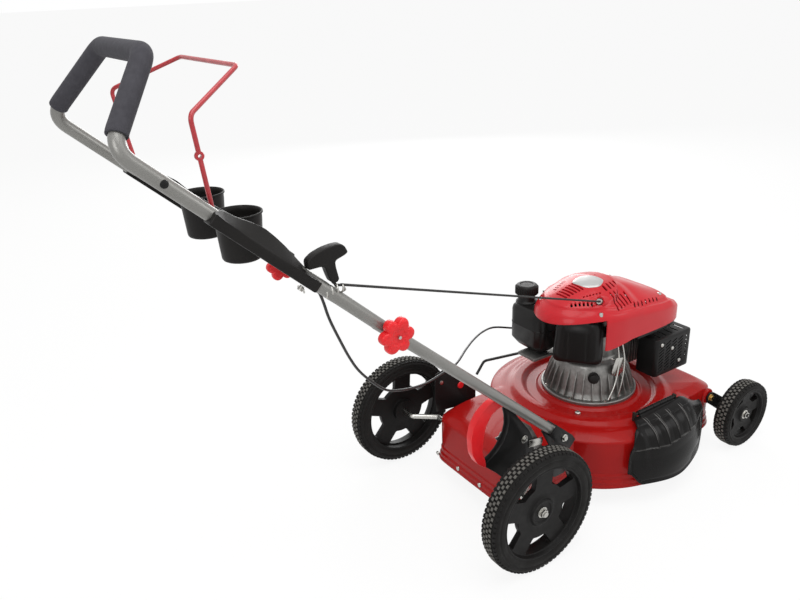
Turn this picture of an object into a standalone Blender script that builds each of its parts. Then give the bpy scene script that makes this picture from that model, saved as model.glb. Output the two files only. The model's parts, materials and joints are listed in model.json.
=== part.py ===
"""Petrol lawn mower. +X is forward, +Y is the mower's left, +Z is up, in metres."""

import math

import bmesh
import bpy
from mathutils import Vector

# Running gear
wheelbase = 0.738
rear_wheel_d = 0.280
front_wheel_d = 0.178
rear_tyre_w = 0.045
front_tyre_w = 0.042
rear_track = 0.510
front_track = 0.460
rear_pivot_x = 0.055
rear_pivot_z = 0.135
front_pivot_x = 0.660
front_pivot_z = 0.142
rear_rod_d = 0.012
front_rod_d = 0.010

# Deck
engine_x = 0.410
deck_wall = 0.0022
deck_floor_z = 0.048
deck_top_z = 0.180
rear_top_z = 0.172
platform_z = 0.186
deck_circle_r = 0.250
rear_box_half_w = 0.148
rear_box_x = 0.030
front_box_half_w = 0.180
front_box_x = 0.702
flange_w = 0.008
blade_length = 0.460
blade_z = 0.070

# Handle
tube_d = 0.022
tube_wall = 0.0015
lower_tube_y = 0.177
upper_tube_y = 0.200
handle_pivot_x = 0.132
handle_pivot_z = 0.229
clamp_x = -0.307
clamp_z = 0.615
foam_d = 0.030
knob_r = 0.029
cup_d = 0.075
cup_height = 0.075
cup_wall = 0.0025
cup_y = 0.080
bail_d = 0.007
bail_pivot_x = -0.574
rope_d = 0.0045
cable_d = 0.005

# Engine
shaft_d = 0.022
housing_wall = 0.003
housing_front = 0.222
housing_rear = 0.162
housing_half_w = 0.117
housing_top_z = 0.485
housing_hem_z = 0.352
housing_rear_hem_z = 0.4045
cap_r = 0.029
neck_r = 0.0215

# Clearances
seat_gap = 0.0003
turn_gap = 0.0005
bolt_gap = 0.0003


def material(name, colour, metallic, roughness):
    made = bpy.data.materials.new(name)
    made.use_nodes = True
    shader = made.node_tree.nodes["Principled BSDF"]
    shader.inputs["Base Color"].default_value = (*colour, 1.0)
    shader.inputs["Metallic"].default_value = metallic
    shader.inputs["Roughness"].default_value = roughness
    return made


def solid(name, points, faces, surface, smooth=35):
    """An object from points and faces, with its normals turned outwards."""
    mesh = bpy.data.meshes.new(name)
    mesh.from_pydata([tuple(p) for p in points], [], faces)
    work = bmesh.new()
    work.from_mesh(mesh)
    bmesh.ops.recalc_face_normals(work, faces=work.faces)
    work.to_mesh(mesh)
    work.free()
    mesh.materials.append(surface)
    mesh.polygons.foreach_set("use_smooth", [True] * len(mesh.polygons))
    mesh.set_sharp_from_angle(angle=math.radians(smooth))
    made = bpy.data.objects.new(name, mesh)
    bpy.context.scene.collection.objects.link(made)
    return made


def pivoted(obj, point):
    """Puts the origin of an object on its joint axis without moving its shape."""
    place = Vector(point)
    for vertex in obj.data.vertices:
        vertex.co = vertex.co - place
    obj.location = place
    return obj


def across_flats(radius, count):
    """Radius of a many-sided hole whose flats clear a pin of this radius."""
    return radius / math.cos(math.pi / count)


def frame_of(axis):
    """Two directions across an axis."""
    n = Vector(axis).normalized()
    start = Vector((0, 0, 1)) if abs(n.z) < 0.9 else Vector((1, 0, 0))
    u = n.cross(start).normalized()
    return n, u, n.cross(u)


def shape_factor(kind, angle):
    """How far a ring of this kind reaches at this angle, as a share of its radius."""
    if kind == "hex":
        part = (angle + math.pi / 6) % (math.pi / 3) - math.pi / 6
        return math.cos(math.pi / 6) / math.cos(part)
    if kind == "star":
        return 1 + 0.17 * math.cos(6 * angle)
    if kind == "ribbed":
        return 1 + 0.03 * math.cos(12 * angle)
    return 1.0


def turned(name, rings, centre, axis, count, surface, closed=False, smooth=35):
    """Rings of (radius, distance along the axis, kind), joined in order. A closed one has a bore."""
    n, u, v = frame_of(axis)
    base = Vector(centre)
    points = []
    rows = []
    for ring in rings:
        radius, along = ring[0], ring[1]
        kind = ring[2] if len(ring) > 2 else "round"
        if radius == 0:
            rows.append([len(points)])
            points.append(base + n * along)
            continue
        row = []
        for i in range(count):
            angle = 2 * math.pi * i / count
            reach = radius * shape_factor(kind, angle)
            row.append(len(points))
            points.append(base + n * along + (u * math.cos(angle) + v * math.sin(angle)) * reach)
        rows.append(row)
    faces = []
    pairs = list(zip(rows, rows[1:]))
    if closed:
        pairs.append((rows[-1], rows[0]))
    for low, high in pairs:
        for i in range(count):
            j = (i + 1) % count
            if len(low) == 1:
                faces.append((low[0], high[i], high[j]))
            elif len(high) == 1:
                faces.append((low[i], low[j], high[0]))
            else:
                faces.append((low[i], low[j], high[j], high[i]))
    return solid(name, points, faces, surface, smooth)


def rod(name, radius, start, end, count, surface):
    """A plain round bar between two points."""
    a, b = Vector(start), Vector(end)
    length = (b - a).length
    rings = [(0, 0), (radius, 0), (radius, length), (0, length)]
    return turned(name, rings, a, b - a, count, surface)


def prism(name, outline, low, high, plane, surface, smooth=35):
    """An outline pushed along the axis that its plane leaves out."""
    def place(a, b, c):
        if plane == "xz":
            return (a, c, b)
        if plane == "yz":
            return (c, a, b)
        return (a, b, c)

    count = len(outline)
    points = [place(a, b, low) for a, b in outline]
    points += [place(a, b, high) for a, b in outline]
    faces = [tuple(range(count)), tuple(range(count, 2 * count))]
    for i in range(count):
        j = (i + 1) % count
        faces.append((i, j, count + j, count + i))
    return solid(name, points, faces, surface, smooth)


def rounded(outline, radius, steps=2):
    """The outline with each corner replaced by a short arc."""
    count = len(outline)
    made = []
    for i in range(count):
        p = Vector(outline[i])
        a = Vector(outline[i - 1])
        b = Vector(outline[(i + 1) % count])
        reach = min(radius, (a - p).length * 0.45, (b - p).length * 0.45)
        start = p + (a - p).normalized() * reach
        end = p + (b - p).normalized() * reach
        for k in range(steps + 1):
            t = k / steps
            made.append(tuple(start * (1 - t) ** 2 + p * 2 * t * (1 - t) + end * t * t))
    return made


def block(name, low, high, corner, surface):
    """A box whose upright corners are rounded and whose rims are chamfered."""
    x0, y0, z0 = low
    x1, y1, z1 = high
    edge = corner * 0.45
    rows = []
    for inset, z in ((edge, z0), (0, z0 + edge), (0, z1 - edge), (edge, z1)):
        corners = [
            (x0 + inset, y0 + inset),
            (x1 - inset, y0 + inset),
            (x1 - inset, y1 - inset),
            (x0 + inset, y1 - inset),
        ]
        rows.append([(*p, z) for p in rounded(corners, corner, 3)])
    return lofted(name, rows, surface)


def lofted(name, rows, surface, smooth=35):
    """Closed rings of points, joined in order and capped at both ends."""
    count = len(rows[0])
    points = [p for row in rows for p in row]
    faces = [tuple(range(count)), tuple(range(len(points) - count, len(points)))]
    for k in range(len(rows) - 1):
        for i in range(count):
            j = (i + 1) % count
            low, high = k * count, (k + 1) * count
            faces.append((low + i, low + j, high + j, high + i))
    return solid(name, points, faces, surface, smooth)


def bent(corners, radii, steps=4):
    """A path through these corners, each one rounded by its own radius."""
    made = [Vector(corners[0])]
    for i in range(1, len(corners) - 1):
        p, a, b = Vector(corners[i]), Vector(corners[i - 1]), Vector(corners[i + 1])
        into, out = (p - a).normalized(), (b - p).normalized()
        turn = into.angle(out)
        reach = radii[i - 1] * math.tan(turn / 2)
        reach = min(reach, (p - a).length * 0.49, (b - p).length * 0.49)
        start, end = p - into * reach, p + out * reach
        for k in range(steps + 1):
            t = k / steps
            made.append(start * (1 - t) ** 2 + p * 2 * t * (1 - t) + end * t * t)
    made.append(Vector(corners[-1]))
    return made


def swept(name, path, radius, count, surface, bore=0.0):
    """A round bar along a path, or a tube if it has a bore."""
    path = [Vector(p) for p in path]
    points = []
    tangents = []
    for i, p in enumerate(path):
        before = path[max(i - 1, 0)]
        after = path[min(i + 1, len(path) - 1)]
        tangents.append((after - before).normalized())
    across = frame_of(tangents[0])[1]
    rows = []
    inner_rows = []
    for p, tangent in zip(path, tangents):
        across = (across - tangent * across.dot(tangent)).normalized()
        other = tangent.cross(across)
        for size, kept in ((radius, rows), (bore, inner_rows)):
            if size == 0:
                continue
            row = []
            for i in range(count):
                angle = 2 * math.pi * i / count
                row.append(len(points))
                points.append(p + (across * math.cos(angle) + other * math.sin(angle)) * size)
            kept.append(row)
    faces = []
    for layer in (rows, inner_rows):
        for low, high in zip(layer, layer[1:]):
            for i in range(count):
                j = (i + 1) % count
                faces.append((low[i], low[j], high[j], high[i]))
    for end in (0, -1):
        if bore == 0:
            faces.append(tuple(rows[end]))
            continue
        for i in range(count):
            j = (i + 1) % count
            outer, inner = rows[end], inner_rows[end]
            faces.append((outer[i], outer[j], inner[j], inner[i]))
    return solid(name, points, faces, surface, 50)


def combine(obj, other, operation):
    """A Boolean with a helper, which is then left out of the render."""
    other.hide_render = True
    other.display_type = "WIRE"
    step = obj.modifiers.new(other.name, "BOOLEAN")
    step.operation = operation
    step.solver = "EXACT"
    step.object = other


def cut(obj, *cutters):
    for cutter in cutters:
        combine(obj, cutter, "DIFFERENCE")


def add(obj, *others):
    for other in others:
        combine(obj, other, "UNION")


def mixed(table, x):
    """A value read from a table of (x, value) by straight lines between its rows."""
    if x <= table[0][0]:
        return table[0][1]
    for (x0, v0), (x1, v1) in zip(table, table[1:]):
        if x <= x1:
            return v0 + (v1 - v0) * (x - x0) / (x1 - x0)
    return table[-1][1]


# Deck

def box_reach(angle, forward, half_w, roundness):
    """Distance from the engine's axis to the edge of a box that it lies in."""
    across = abs(math.sin(angle)) / half_w
    along = abs(math.cos(angle)) / forward
    return (across ** roundness + along ** roundness) ** (-1 / roundness)


def deck_reach(angle):
    """Distance from the engine's axis to the deck's side wall."""
    reaches = [deck_circle_r]
    if math.cos(angle) < 0:
        reaches.append(box_reach(angle, engine_x - rear_box_x, rear_box_half_w, 12))
    else:
        reaches.append(box_reach(angle, front_box_x - engine_x, front_box_half_w, 9))
    return max(reaches)


def even_angles(reach, count):
    """Angles whose points lie evenly along an outline."""
    fine = 1440
    angles = [2 * math.pi * i / fine for i in range(fine + 1)]
    spots = [Vector((reach(a) * math.cos(a), reach(a) * math.sin(a))) for a in angles]
    lengths = [0.0]
    for a, b in zip(spots, spots[1:]):
        lengths.append(lengths[-1] + (b - a).length)
    made = []
    k = 0
    for i in range(count):
        wanted = lengths[-1] * i / count
        while lengths[k + 1] < wanted:
            k += 1
        made.append(angles[k])
    return made


def plateau(x):
    """Height of the deck's top beside the engine."""
    table = [(rear_box_x, rear_top_z), (0.200, deck_top_z), (0.640, deck_top_z)]
    table.append((front_box_x, deck_top_z - 0.012))
    return mixed(table, x)


def ring_shell(name, centre, angles, reach, outer, inner, surface, poles=None):
    """Rings outside, then rings inside, joined into one skin. Poles are the two heights at its middle."""
    points = []
    rows = []
    for rule in outer + inner[::-1]:
        row = []
        for angle in angles:
            r, z = rule(reach(angle), angle)
            row.append(len(points))
            points.append((centre + r * math.cos(angle), r * math.sin(angle), z))
        rows.append(row)
    faces = []
    count = len(angles)
    pairs = list(zip(rows, rows[1:]))
    if poles is None:
        pairs.append((rows[-1], rows[0]))
    for low, high in pairs:
        for i in range(count):
            j = (i + 1) % count
            faces.append((low[i], low[j], high[j], high[i]))
    if poles is not None:
        for row, z in ((rows[0], poles[0]), (rows[-1], poles[1])):
            points.append((centre, 0, z))
            for i in range(count):
                faces.append((row[i], row[(i + 1) % count], len(points) - 1))
    return solid(name, points, faces, surface, 40)


def deck_shell(surface):
    def flat(radius, z):
        return lambda r, a: (radius, z)

    def edge(inset, drop):
        def rule(r, a):
            x = engine_x + (r - inset) * math.cos(a)
            return r - inset, plateau(x) - drop
        return rule

    def wall(inset, z):
        return lambda r, a: (r - inset, z)

    def inner_top(inset, drop):
        def rule(r, a):
            reach = min(0.205, r - inset)
            return reach, min(plateau(engine_x + reach * math.cos(a)), deck_top_z) - drop
        return rule

    t = deck_wall
    outer = [
        flat(0.030, platform_z),
        flat(0.124, platform_z),
        flat(0.132, deck_top_z - 0.001),
        flat(0.158, deck_top_z - 0.001),
        flat(0.168, deck_top_z + 0.009),
        flat(0.186, deck_top_z + 0.009),
        inner_top(0.045, 0.0),
        edge(0.024, 0.0),
        edge(0.008, 0.005),
        edge(0.001, 0.017),
        wall(0.0, 0.062),
        wall(-flange_w, deck_floor_z + t),
        wall(-flange_w, deck_floor_z),
    ]
    inner = [
        flat(0.030, deck_top_z - 0.001 - t),
        inner_top(0.047, t + 0.001),
        edge(0.026, t),
        edge(0.010, 0.005 + t * 0.9),
        edge(0.001 + t, 0.018),
        wall(t, 0.061),
        wall(t, deck_floor_z),
    ]
    angles = even_angles(deck_reach, 48)
    return ring_shell("deck_shell", engine_x, angles, deck_reach, outer, inner, surface)


def deck_pieces(red, steel):
    deck = deck_shell(red)
    window = [(0.320, 0.064), (0.545, 0.064), (0.545, 0.150), (0.320, 0.150)]
    cut(deck, prism("cut_discharge", rounded(window, 0.015), -0.300, -0.205, "xz", red))
    rear_hole = across_flats(rear_rod_d / 2, 12) + turn_gap
    front_hole = across_flats(front_rod_d / 2, 12) + turn_gap
    rear_at = (rear_pivot_x, -0.200, rear_pivot_z)
    front_at = (front_pivot_x, -0.300, front_pivot_z)
    rear_end = (rear_pivot_x, 0.200, rear_pivot_z)
    front_end = (front_pivot_x, 0.300, front_pivot_z)
    cut(deck, rod("cut_rear_pivot", rear_hole, rear_at, rear_end, 12, red))
    cut(deck, rod("cut_front_pivot", front_hole, front_at, front_end, 12, red))
    turned(
        "deck_bolt",
        [(0, 0), (0.007, 0, "hex"), (0.007, 0.005, "hex"), (0.005, 0.0065), (0, 0.0065)],
        (0.288, -0.083, deck_top_z - 0.001 + seat_gap),
        (0, 0, 1),
        12,
        steel,
    )


def cover_pieces(black, steel):
    """The discharge cover on its hinge rod, along the top of the right-hand side."""
    hinge_y, hinge_z = -0.193, 0.2035
    pin_r = 0.0025
    rear_x, front_x = 0.294, 0.585
    top_z = [(rear_x, 0.156), (0.334, 0.191), (0.354, 0.199), (0.510, 0.201), (front_x, 0.172)]
    top_y = [(rear_x, -0.247), (0.334, -0.222), (0.354, -0.198), (0.510, -0.197), (front_x, -0.204)]
    low_z = [(rear_x, 0.092), (0.330, 0.058), (0.438, 0.050), (0.540, 0.064), (front_x, 0.105)]
    thick = 0.003
    columns = 11
    levels = 6
    sheets = ([], [])
    for i in range(columns):
        x = rear_x + (front_x - rear_x) * i / (columns - 1)
        bulge = math.sqrt(0.275 ** 2 - (x - 0.425) ** 2)
        start = Vector((mixed(top_y, x), mixed(top_z, x)))
        end = Vector((-bulge, mixed(low_z, x)))
        middle = Vector((-bulge, start.y))
        for k in range(levels):
            t = k / (levels - 1)
            spot = start * (1 - t) ** 2 + middle * 2 * t * (1 - t) + end * t * t
            slope = (middle - start) * (1 - t) + (end - middle) * t
            inward = Vector((-slope.y, slope.x)).normalized()
            if inward.x < 0 or (abs(inward.x) < 1e-6 and inward.y > 0):
                inward = -inward
            sheets[0].append((x, spot.x, spot.y))
            sheets[1].append((x, spot.x + inward.x * thick, spot.y + inward.y * thick))
    points = sheets[0] + sheets[1]
    half = columns * levels
    faces = []
    for i in range(columns - 1):
        for k in range(levels - 1):
            a = i * levels + k
            b = a + levels
            faces.append((a, a + 1, b + 1, b))
            faces.append((half + a, half + b, half + b + 1, half + a + 1))
    rim = [i * levels for i in range(columns)]
    rim += [(columns - 1) * levels + k for k in range(1, levels)]
    rim += [i * levels + levels - 1 for i in range(columns - 2, -1, -1)]
    rim += [k for k in range(levels - 2, 0, -1)]
    for a, b in zip(rim, rim[1:] + rim[:1]):
        faces.append((a, b, half + b, half + a))
    cover = solid("discharge_cover", points, faces, black)
    barrel = rod("add_barrel", 0.0055, (0.370, hinge_y, hinge_z), (0.495, hinge_y, hinge_z), 12, black)
    bore_r = across_flats(pin_r, 10) + turn_gap
    bore = rod("cut_barrel", bore_r, (0.30, hinge_y, hinge_z), (0.60, hinge_y, hinge_z), 12, black)
    add(cover, barrel)
    cut(cover, bore)
    pin = rod("cover_hinge_rod", pin_r, (0.357, hinge_y, hinge_z), (0.508, hinge_y, hinge_z), 10, steel)
    for name, x0 in (("add_foot_rear", 0.3585), ("add_foot_front", 0.5005)):
        foot = [(hinge_y - 0.0025, deck_top_z + 0.0065), (hinge_y + 0.006, deck_top_z + 0.0065)]
        foot += [(hinge_y + 0.006, hinge_z + 0.004), (hinge_y - 0.0025, hinge_z + 0.004)]
        add(pin, prism(name, foot, x0, x0 + 0.006, "yz", steel))


def handle_brackets(black, steel):
    """Channels at the deck's rear corners that hold the ends of the lower tubes."""
    along = Vector((clamp_x - handle_pivot_x, clamp_z - handle_pivot_z)).normalized()
    over = Vector((-along.y, along.x))
    if over.y < 0:
        over = -over
    pivot = Vector((handle_pivot_x, handle_pivot_z))
    tube_r = tube_d / 2
    plate = 0.003
    inner_y = lower_tube_y - tube_r - 0.0005 - plate
    outer_y = lower_tube_y + tube_r + 0.0005

    def at(s, h):
        spot = pivot + along * s + over * h
        return (spot.x, spot.y)

    back = 0.044
    front = -0.037
    side = [at(front, -0.0145), at(front, 0.010), at(-0.020, 0.0145), at(back, 0.0145)]
    side.append(at(back, -0.0145))
    foot = [(0.172, 0.178), (0.172, 0.118), (0.164, 0.110), (0.134, 0.110), (0.126, 0.118)]
    rear_edge = {
        "left": [(0.120, 0.148), (0.046, 0.156), (0.042, 0.200), (0.046, 0.262), at(0.072, -0.0145)],
        "right": [(0.112, 0.206), at(back, -0.0145)],
    }
    top_edge = [at(back, 0.0145), at(-0.020, 0.0145), at(front, 0.010), at(front, -0.0145)]
    first_s, last_s = 0.012, back - 0.001
    floor = [at(first_s, -0.0140), at(last_s, -0.0140), at(last_s, -0.0116), at(first_s, -0.0116)]
    hole = across_flats(0.004, 10) + bolt_gap
    for side_name, sign in (("left", 1), ("right", -1)):
        def span(a, b):
            return (sign * a, sign * b) if sign > 0 else (-b, -a)

        foot_side = foot + rear_edge[side_name] + top_edge
        body = prism(f"handle_bracket_{side_name}", foot_side, *span(inner_y, inner_y + plate), "xz", black)
        outer = prism(f"add_outer_{side_name}", side, *span(outer_y, outer_y + plate), "xz", black)
        web_y = span(inner_y + 0.001, outer_y + plate - 0.001)
        web = prism(f"add_floor_{side_name}", floor, *web_y, "xz", black)
        boss_low = (0.149, sign * (rear_box_half_w + 0.0004), 0.140)
        boss_high = (0.149, sign * (inner_y + 0.001), 0.140)
        boss = rod(f"add_boss_{side_name}", 0.011, boss_low, boss_high, 12, black)
        add(body, web, outer, boss)
        start = (handle_pivot_x, sign * 0.14, handle_pivot_z)
        end = (handle_pivot_x, sign * 0.22, handle_pivot_z)
        cut(body, rod(f"cut_bracket_{side_name}", hole, start, end, 10, black))
        first = inner_y - 0.0045
        last = outer_y + plate + seat_gap
        rings = [
            (0, first),
            (0.0065, first, "hex"),
            (0.0065, inner_y - seat_gap, "hex"),
            (0.004, inner_y - seat_gap),
            (0.004, last),
            (0.0085, last),
            (0.0085, last + 0.0015),
            (0.0065, last + 0.0015),
            (0.0065, last + 0.004),
            (0.004, last + 0.0055),
            (0, last + 0.0055),
        ]
        base = (handle_pivot_x, 0, handle_pivot_z)
        turned(f"pivot_bolt_{side_name}", rings, base, (0, sign, 0), 12, steel)


def rear_running_gear(red, black, steel, cast):
    """The cranked rear axle, with the height lever fixed to it."""
    reach = rear_track / 2
    wheel_z = rear_wheel_d / 2
    stub = reach + 0.0225
    arm_y = 0.170
    corners = [
        (0, -stub, wheel_z),
        (0, -0.205, wheel_z),
        (rear_pivot_x, -arm_y, rear_pivot_z),
        (rear_pivot_x, arm_y, rear_pivot_z),
        (0, 0.205, wheel_z),
        (0, stub, wheel_z),
    ]
    path = bent(corners, [0.012, 0.012, 0.012, 0.012], 3)
    pivot = (rear_pivot_x, 0, rear_pivot_z)
    pivoted(swept("rear_axle", path, rear_rod_d / 2, 10, steel), pivot)
    low_y, high_y = -0.1555, -0.1518
    plate = [
        (0.040, 0.118), (0.070, 0.118), (0.079, 0.150), (0.078, 0.200), (0.072, 0.235),
        (0.062, 0.256), (0.030, 0.300), (-0.006, 0.351), (-0.013, 0.353), (-0.016, 0.346),
        (-0.010, 0.322), (-0.009, 0.299), (-0.014, 0.282), (-0.022, 0.267), (-0.034, 0.252),
        (-0.049, 0.241), (-0.064, 0.234), (-0.062, 0.216), (-0.030, 0.186), (0.016, 0.136),
    ]
    lever = prism("lever_plate", plate, low_y, high_y, "xz", black)
    hub = across_flats(rear_rod_d / 2, 12) + bolt_gap
    bolt_x, bolt_z, bolt_r = 0.048, 0.240, 0.003
    bolt_hole = across_flats(bolt_r, 10) + bolt_gap
    for name, size, x, z in (("hub", hub, rear_pivot_x, rear_pivot_z), ("bolt", bolt_hole, bolt_x, bolt_z)):
        cut(lever, rod(f"cut_lever_{name}", size, (x, -0.17, z), (x, -0.14, z), 12, black))
    pivoted(lever, pivot)
    grip = [
        (-0.0095, 0.3530), (-0.0120, 0.3610), (-0.020, 0.366), (-0.035, 0.370), (-0.053, 0.367),
        (-0.081, 0.349),
        (-0.096, 0.327), (-0.102, 0.299), (-0.099, 0.262), (-0.086, 0.235), (-0.0626, 0.2155),
        (-0.0646, 0.2345), (-0.073, 0.258), (-0.070, 0.286), (-0.065, 0.315), (-0.050, 0.338),
        (-0.031, 0.348), (-0.0166, 0.3466), (-0.0134, 0.3534),
    ]
    pivoted(prism("lever_grip", grip, -0.1618, -0.1455, "xz", red), pivot)
    rings = [
        (0, 0.1508),
        (bolt_r, 0.1508),
        (bolt_r, -low_y + seat_gap),
        (0.009, -low_y + seat_gap),
        (0.009, -low_y + 0.0015),
        (0.006, -low_y + 0.0015, "hex"),
        (0.006, -low_y + 0.005, "hex"),
        (0, -low_y + 0.005),
    ]
    bolt = turned("lever_bolt", rings, (bolt_x, 0, bolt_z), (0, -1, 0), 12, steel)
    pivoted(bolt, pivot)
    tongue = [(0.060, 0.214), (0.098, 0.208), (0.102, 0.214), (0.100, 0.226), (0.062, 0.232)]
    pivoted(prism("lever_tongue", tongue, low_y - 0.0018, low_y - seat_gap, "xz", steel), pivot)
    quadrant = []
    for k in range(9):
        angle = math.radians(98 + 24 * k / 8)
        outer = 0.160 if k % 2 == 0 else 0.155
        quadrant.append((rear_pivot_x + outer * math.cos(angle), rear_pivot_z + outer * math.sin(angle)))
    for k in range(5):
        angle = math.radians(122 - 18 * k / 4)
        quadrant.append((rear_pivot_x + 0.136 * math.cos(angle), rear_pivot_z + 0.136 * math.sin(angle)))
    quadrant += [(0.068, 0.190), (0.084, 0.112), (0.122, 0.112), (0.112, 0.190), (0.070, 0.262)]
    prism("height_quadrant", quadrant, -0.1508, -rear_box_half_w - 0.0004, "xz", cast)


def front_running_gear(black, steel, brass):
    """The cranked front axle with its two arm plates."""
    stub = front_track / 2 + 0.0225
    wheel_z = front_wheel_d / 2
    radius = front_rod_d / 2
    arm_low, arm_high = 0.1850, 0.1890
    pivot = (front_pivot_x, 0, front_pivot_z)
    axle = rod("front_axle", radius, (front_pivot_x, -arm_high + 0.001, front_pivot_z),
               (front_pivot_x, arm_high - 0.001, front_pivot_z), 12, steel)
    outline = [
        (front_pivot_x - 0.014, front_pivot_z + 0.002),
        (front_pivot_x - 0.004, front_pivot_z + 0.014),
        (front_pivot_x + 0.014, front_pivot_z + 0.010),
        (wheelbase + 0.008, wheel_z + 0.014),
        (wheelbase + 0.012, wheel_z - 0.006),
        (wheelbase + 0.002, wheel_z - 0.018),
        (wheelbase - 0.014, wheel_z - 0.014),
        (front_pivot_x - 0.010, front_pivot_z - 0.012),
    ]
    for name, sign in (("left", 1), ("right", -1)):
        low, high = (arm_low, arm_high) if sign > 0 else (-arm_high, -arm_low)
        arm = prism(f"add_arm_{name}", rounded(outline, 0.004), low, high, "xz", black)
        inner_end = (wheelbase, sign * (arm_low + 0.001), wheel_z)
        pin = rod(f"add_stub_{name}", radius, inner_end, (wheelbase, sign * stub, wheel_z), 12, steel)
        add(axle, arm, pin)
        start = arm_high + seat_gap
        rings = [
            (0, start),
            (0.010, start),
            (0.010, start + 0.0015),
            (0.0075, start + 0.0015, "hex"),
            (0.0075, start + 0.006, "hex"),
            (0, start + 0.0065),
        ]
        bolt = turned(f"front_bolt_{name}", rings, pivot, (0, sign, 0), 12, brass)
        pivoted(bolt, pivot)
    pivoted(axle, pivot)


def wheel(label, centre, sign, diameter, tyre_w, rod_d, count, black, rubber, steel):
    """A rim with five openings, its tyre and its hub nut. Distances run outwards along the axle."""
    radius = diameter / 2
    bore = across_flats(rod_d / 2, count) + turn_gap
    rim_r = radius * 0.76
    bead = rim_r - 0.005
    hub = radius * 0.20
    half = tyre_w / 2
    side = half - 0.0025
    web_in, web_out = -0.012, 0.010
    rings = [
        (bore, -0.017),
        (hub, -0.017),
        (hub, web_in),
        (bead, web_in),
        (bead, -side),
        (rim_r, -side),
        (rim_r, side),
        (bead, side),
        (bead, web_out),
        (hub + 0.005, web_out - 0.003),
        (hub, 0.013),
        (bore, 0.013),
    ]
    axis = (0, sign, 0)
    rim = turned(f"rim_{label}", rings, centre, axis, count, black, closed=True)
    spoke_w = radius * 0.33
    for k in range(5):
        middle = math.radians(122 + 72 * k)
        outline = []
        for r, shares in ((radius * 0.45, (-1, 1)), (bead - 0.0034, (1, 0, -1))):
            spread = math.pi / 5 - math.asin(spoke_w / 2 / r)
            for share in shares:
                angle = middle + spread * share
                outline.append((centre[0] + r * math.cos(angle), centre[2] + r * math.sin(angle)))
        low, high = centre[1] - 0.016, centre[1] + 0.016
        cut(rim, prism(f"cut_{label}_{k}", outline, low, high, "xz", black))
    pivoted(rim, centre)
    inner = rim_r + seat_gap
    rings = [
        (inner, -side),
        (inner + 0.006, -half),
        (radius * 0.94, -half),
        (radius, -half * 0.68),
        (radius, half * 0.68),
        (radius * 0.94, half),
        (inner + 0.006, half),
        (inner, side),
    ]
    pivoted(turned(f"tyre_{label}", rings, centre, axis, count, rubber, closed=True), centre)
    start = 0.0133
    nut = bore - turn_gap + 0.0002
    rings = [
        (nut, start),
        (0.012, start),
        (0.012, start + 0.002),
        (0.0095, start + 0.002, "hex"),
        (0.0095, start + 0.0085, "hex"),
        (nut, start + 0.0092),
    ]
    pivoted(turned(f"hub_nut_{label}", rings, centre, axis, 12, steel, closed=True), centre)


# Engine

def housing_reach(angle):
    """Distance from the engine's axis to the housing's skirt."""
    if math.cos(angle) <= 0:
        return box_reach(angle, housing_rear, housing_half_w, 2)
    return box_reach(angle, housing_front, housing_half_w, 5)


def blower_housing(surface):
    """The red housing over the flywheel, hollow underneath."""
    slope = [(0.400, 1.0), (0.440, 0.95), (0.470, 0.88), (0.567, 0.77), (0.600, 0.62)]
    slope.append((engine_x + housing_front, 0.36))
    corner = [(0.354, housing_hem_z - 0.012), (0.425, housing_hem_z)]

    def skin(share, z, inset=0.0):
        def rule(r, a):
            radius = r * share - inset
            height = (z - housing_hem_z) * mixed(slope, engine_x + radius * math.cos(a))
            return radius, housing_hem_z + height
        return rule

    def hem(inset):
        return lambda r, a: (r - inset, mixed(corner, engine_x + r * math.cos(a)))

    t = housing_wall
    profile = [(0.32, 0.481), (0.47, 0.474), (0.60, 0.464), (0.74, 0.452), (0.86, 0.440), (0.95, 0.427)]
    outer = [skin(share, z) for share, z in profile] + [skin(1.0, 0.412), hem(0.0)]
    inner = [skin(share, z - t, t * share) for share, z in profile] + [skin(1.0, 0.412 - t / 2, t), hem(t)]
    angles = even_angles(housing_reach, 36)
    poles = (housing_top_z, housing_top_z - t)
    made = ring_shell("blower_housing", engine_x, angles, housing_reach, outer, inner, surface, poles)
    back = -rope_line()
    cup = rod("add_rope_boss", 0.0120, rope_end() + back * 0.001, rope_end() + back * 0.036, 16, surface)
    add(made, cup)
    seat = rod("cut_eyelet_seat", 0.0091, rope_end() + back * 0.0063, rope_end() - back * 0.060, 16, surface)
    skirt = [(0.200, 0.300), (0.353, 0.300), (0.353, housing_rear_hem_z), (0.200, housing_rear_hem_z)]
    cut(made, seat, prism("cut_rear_skirt", skirt, -0.200, 0.200, "xz", surface))
    return made


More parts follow.
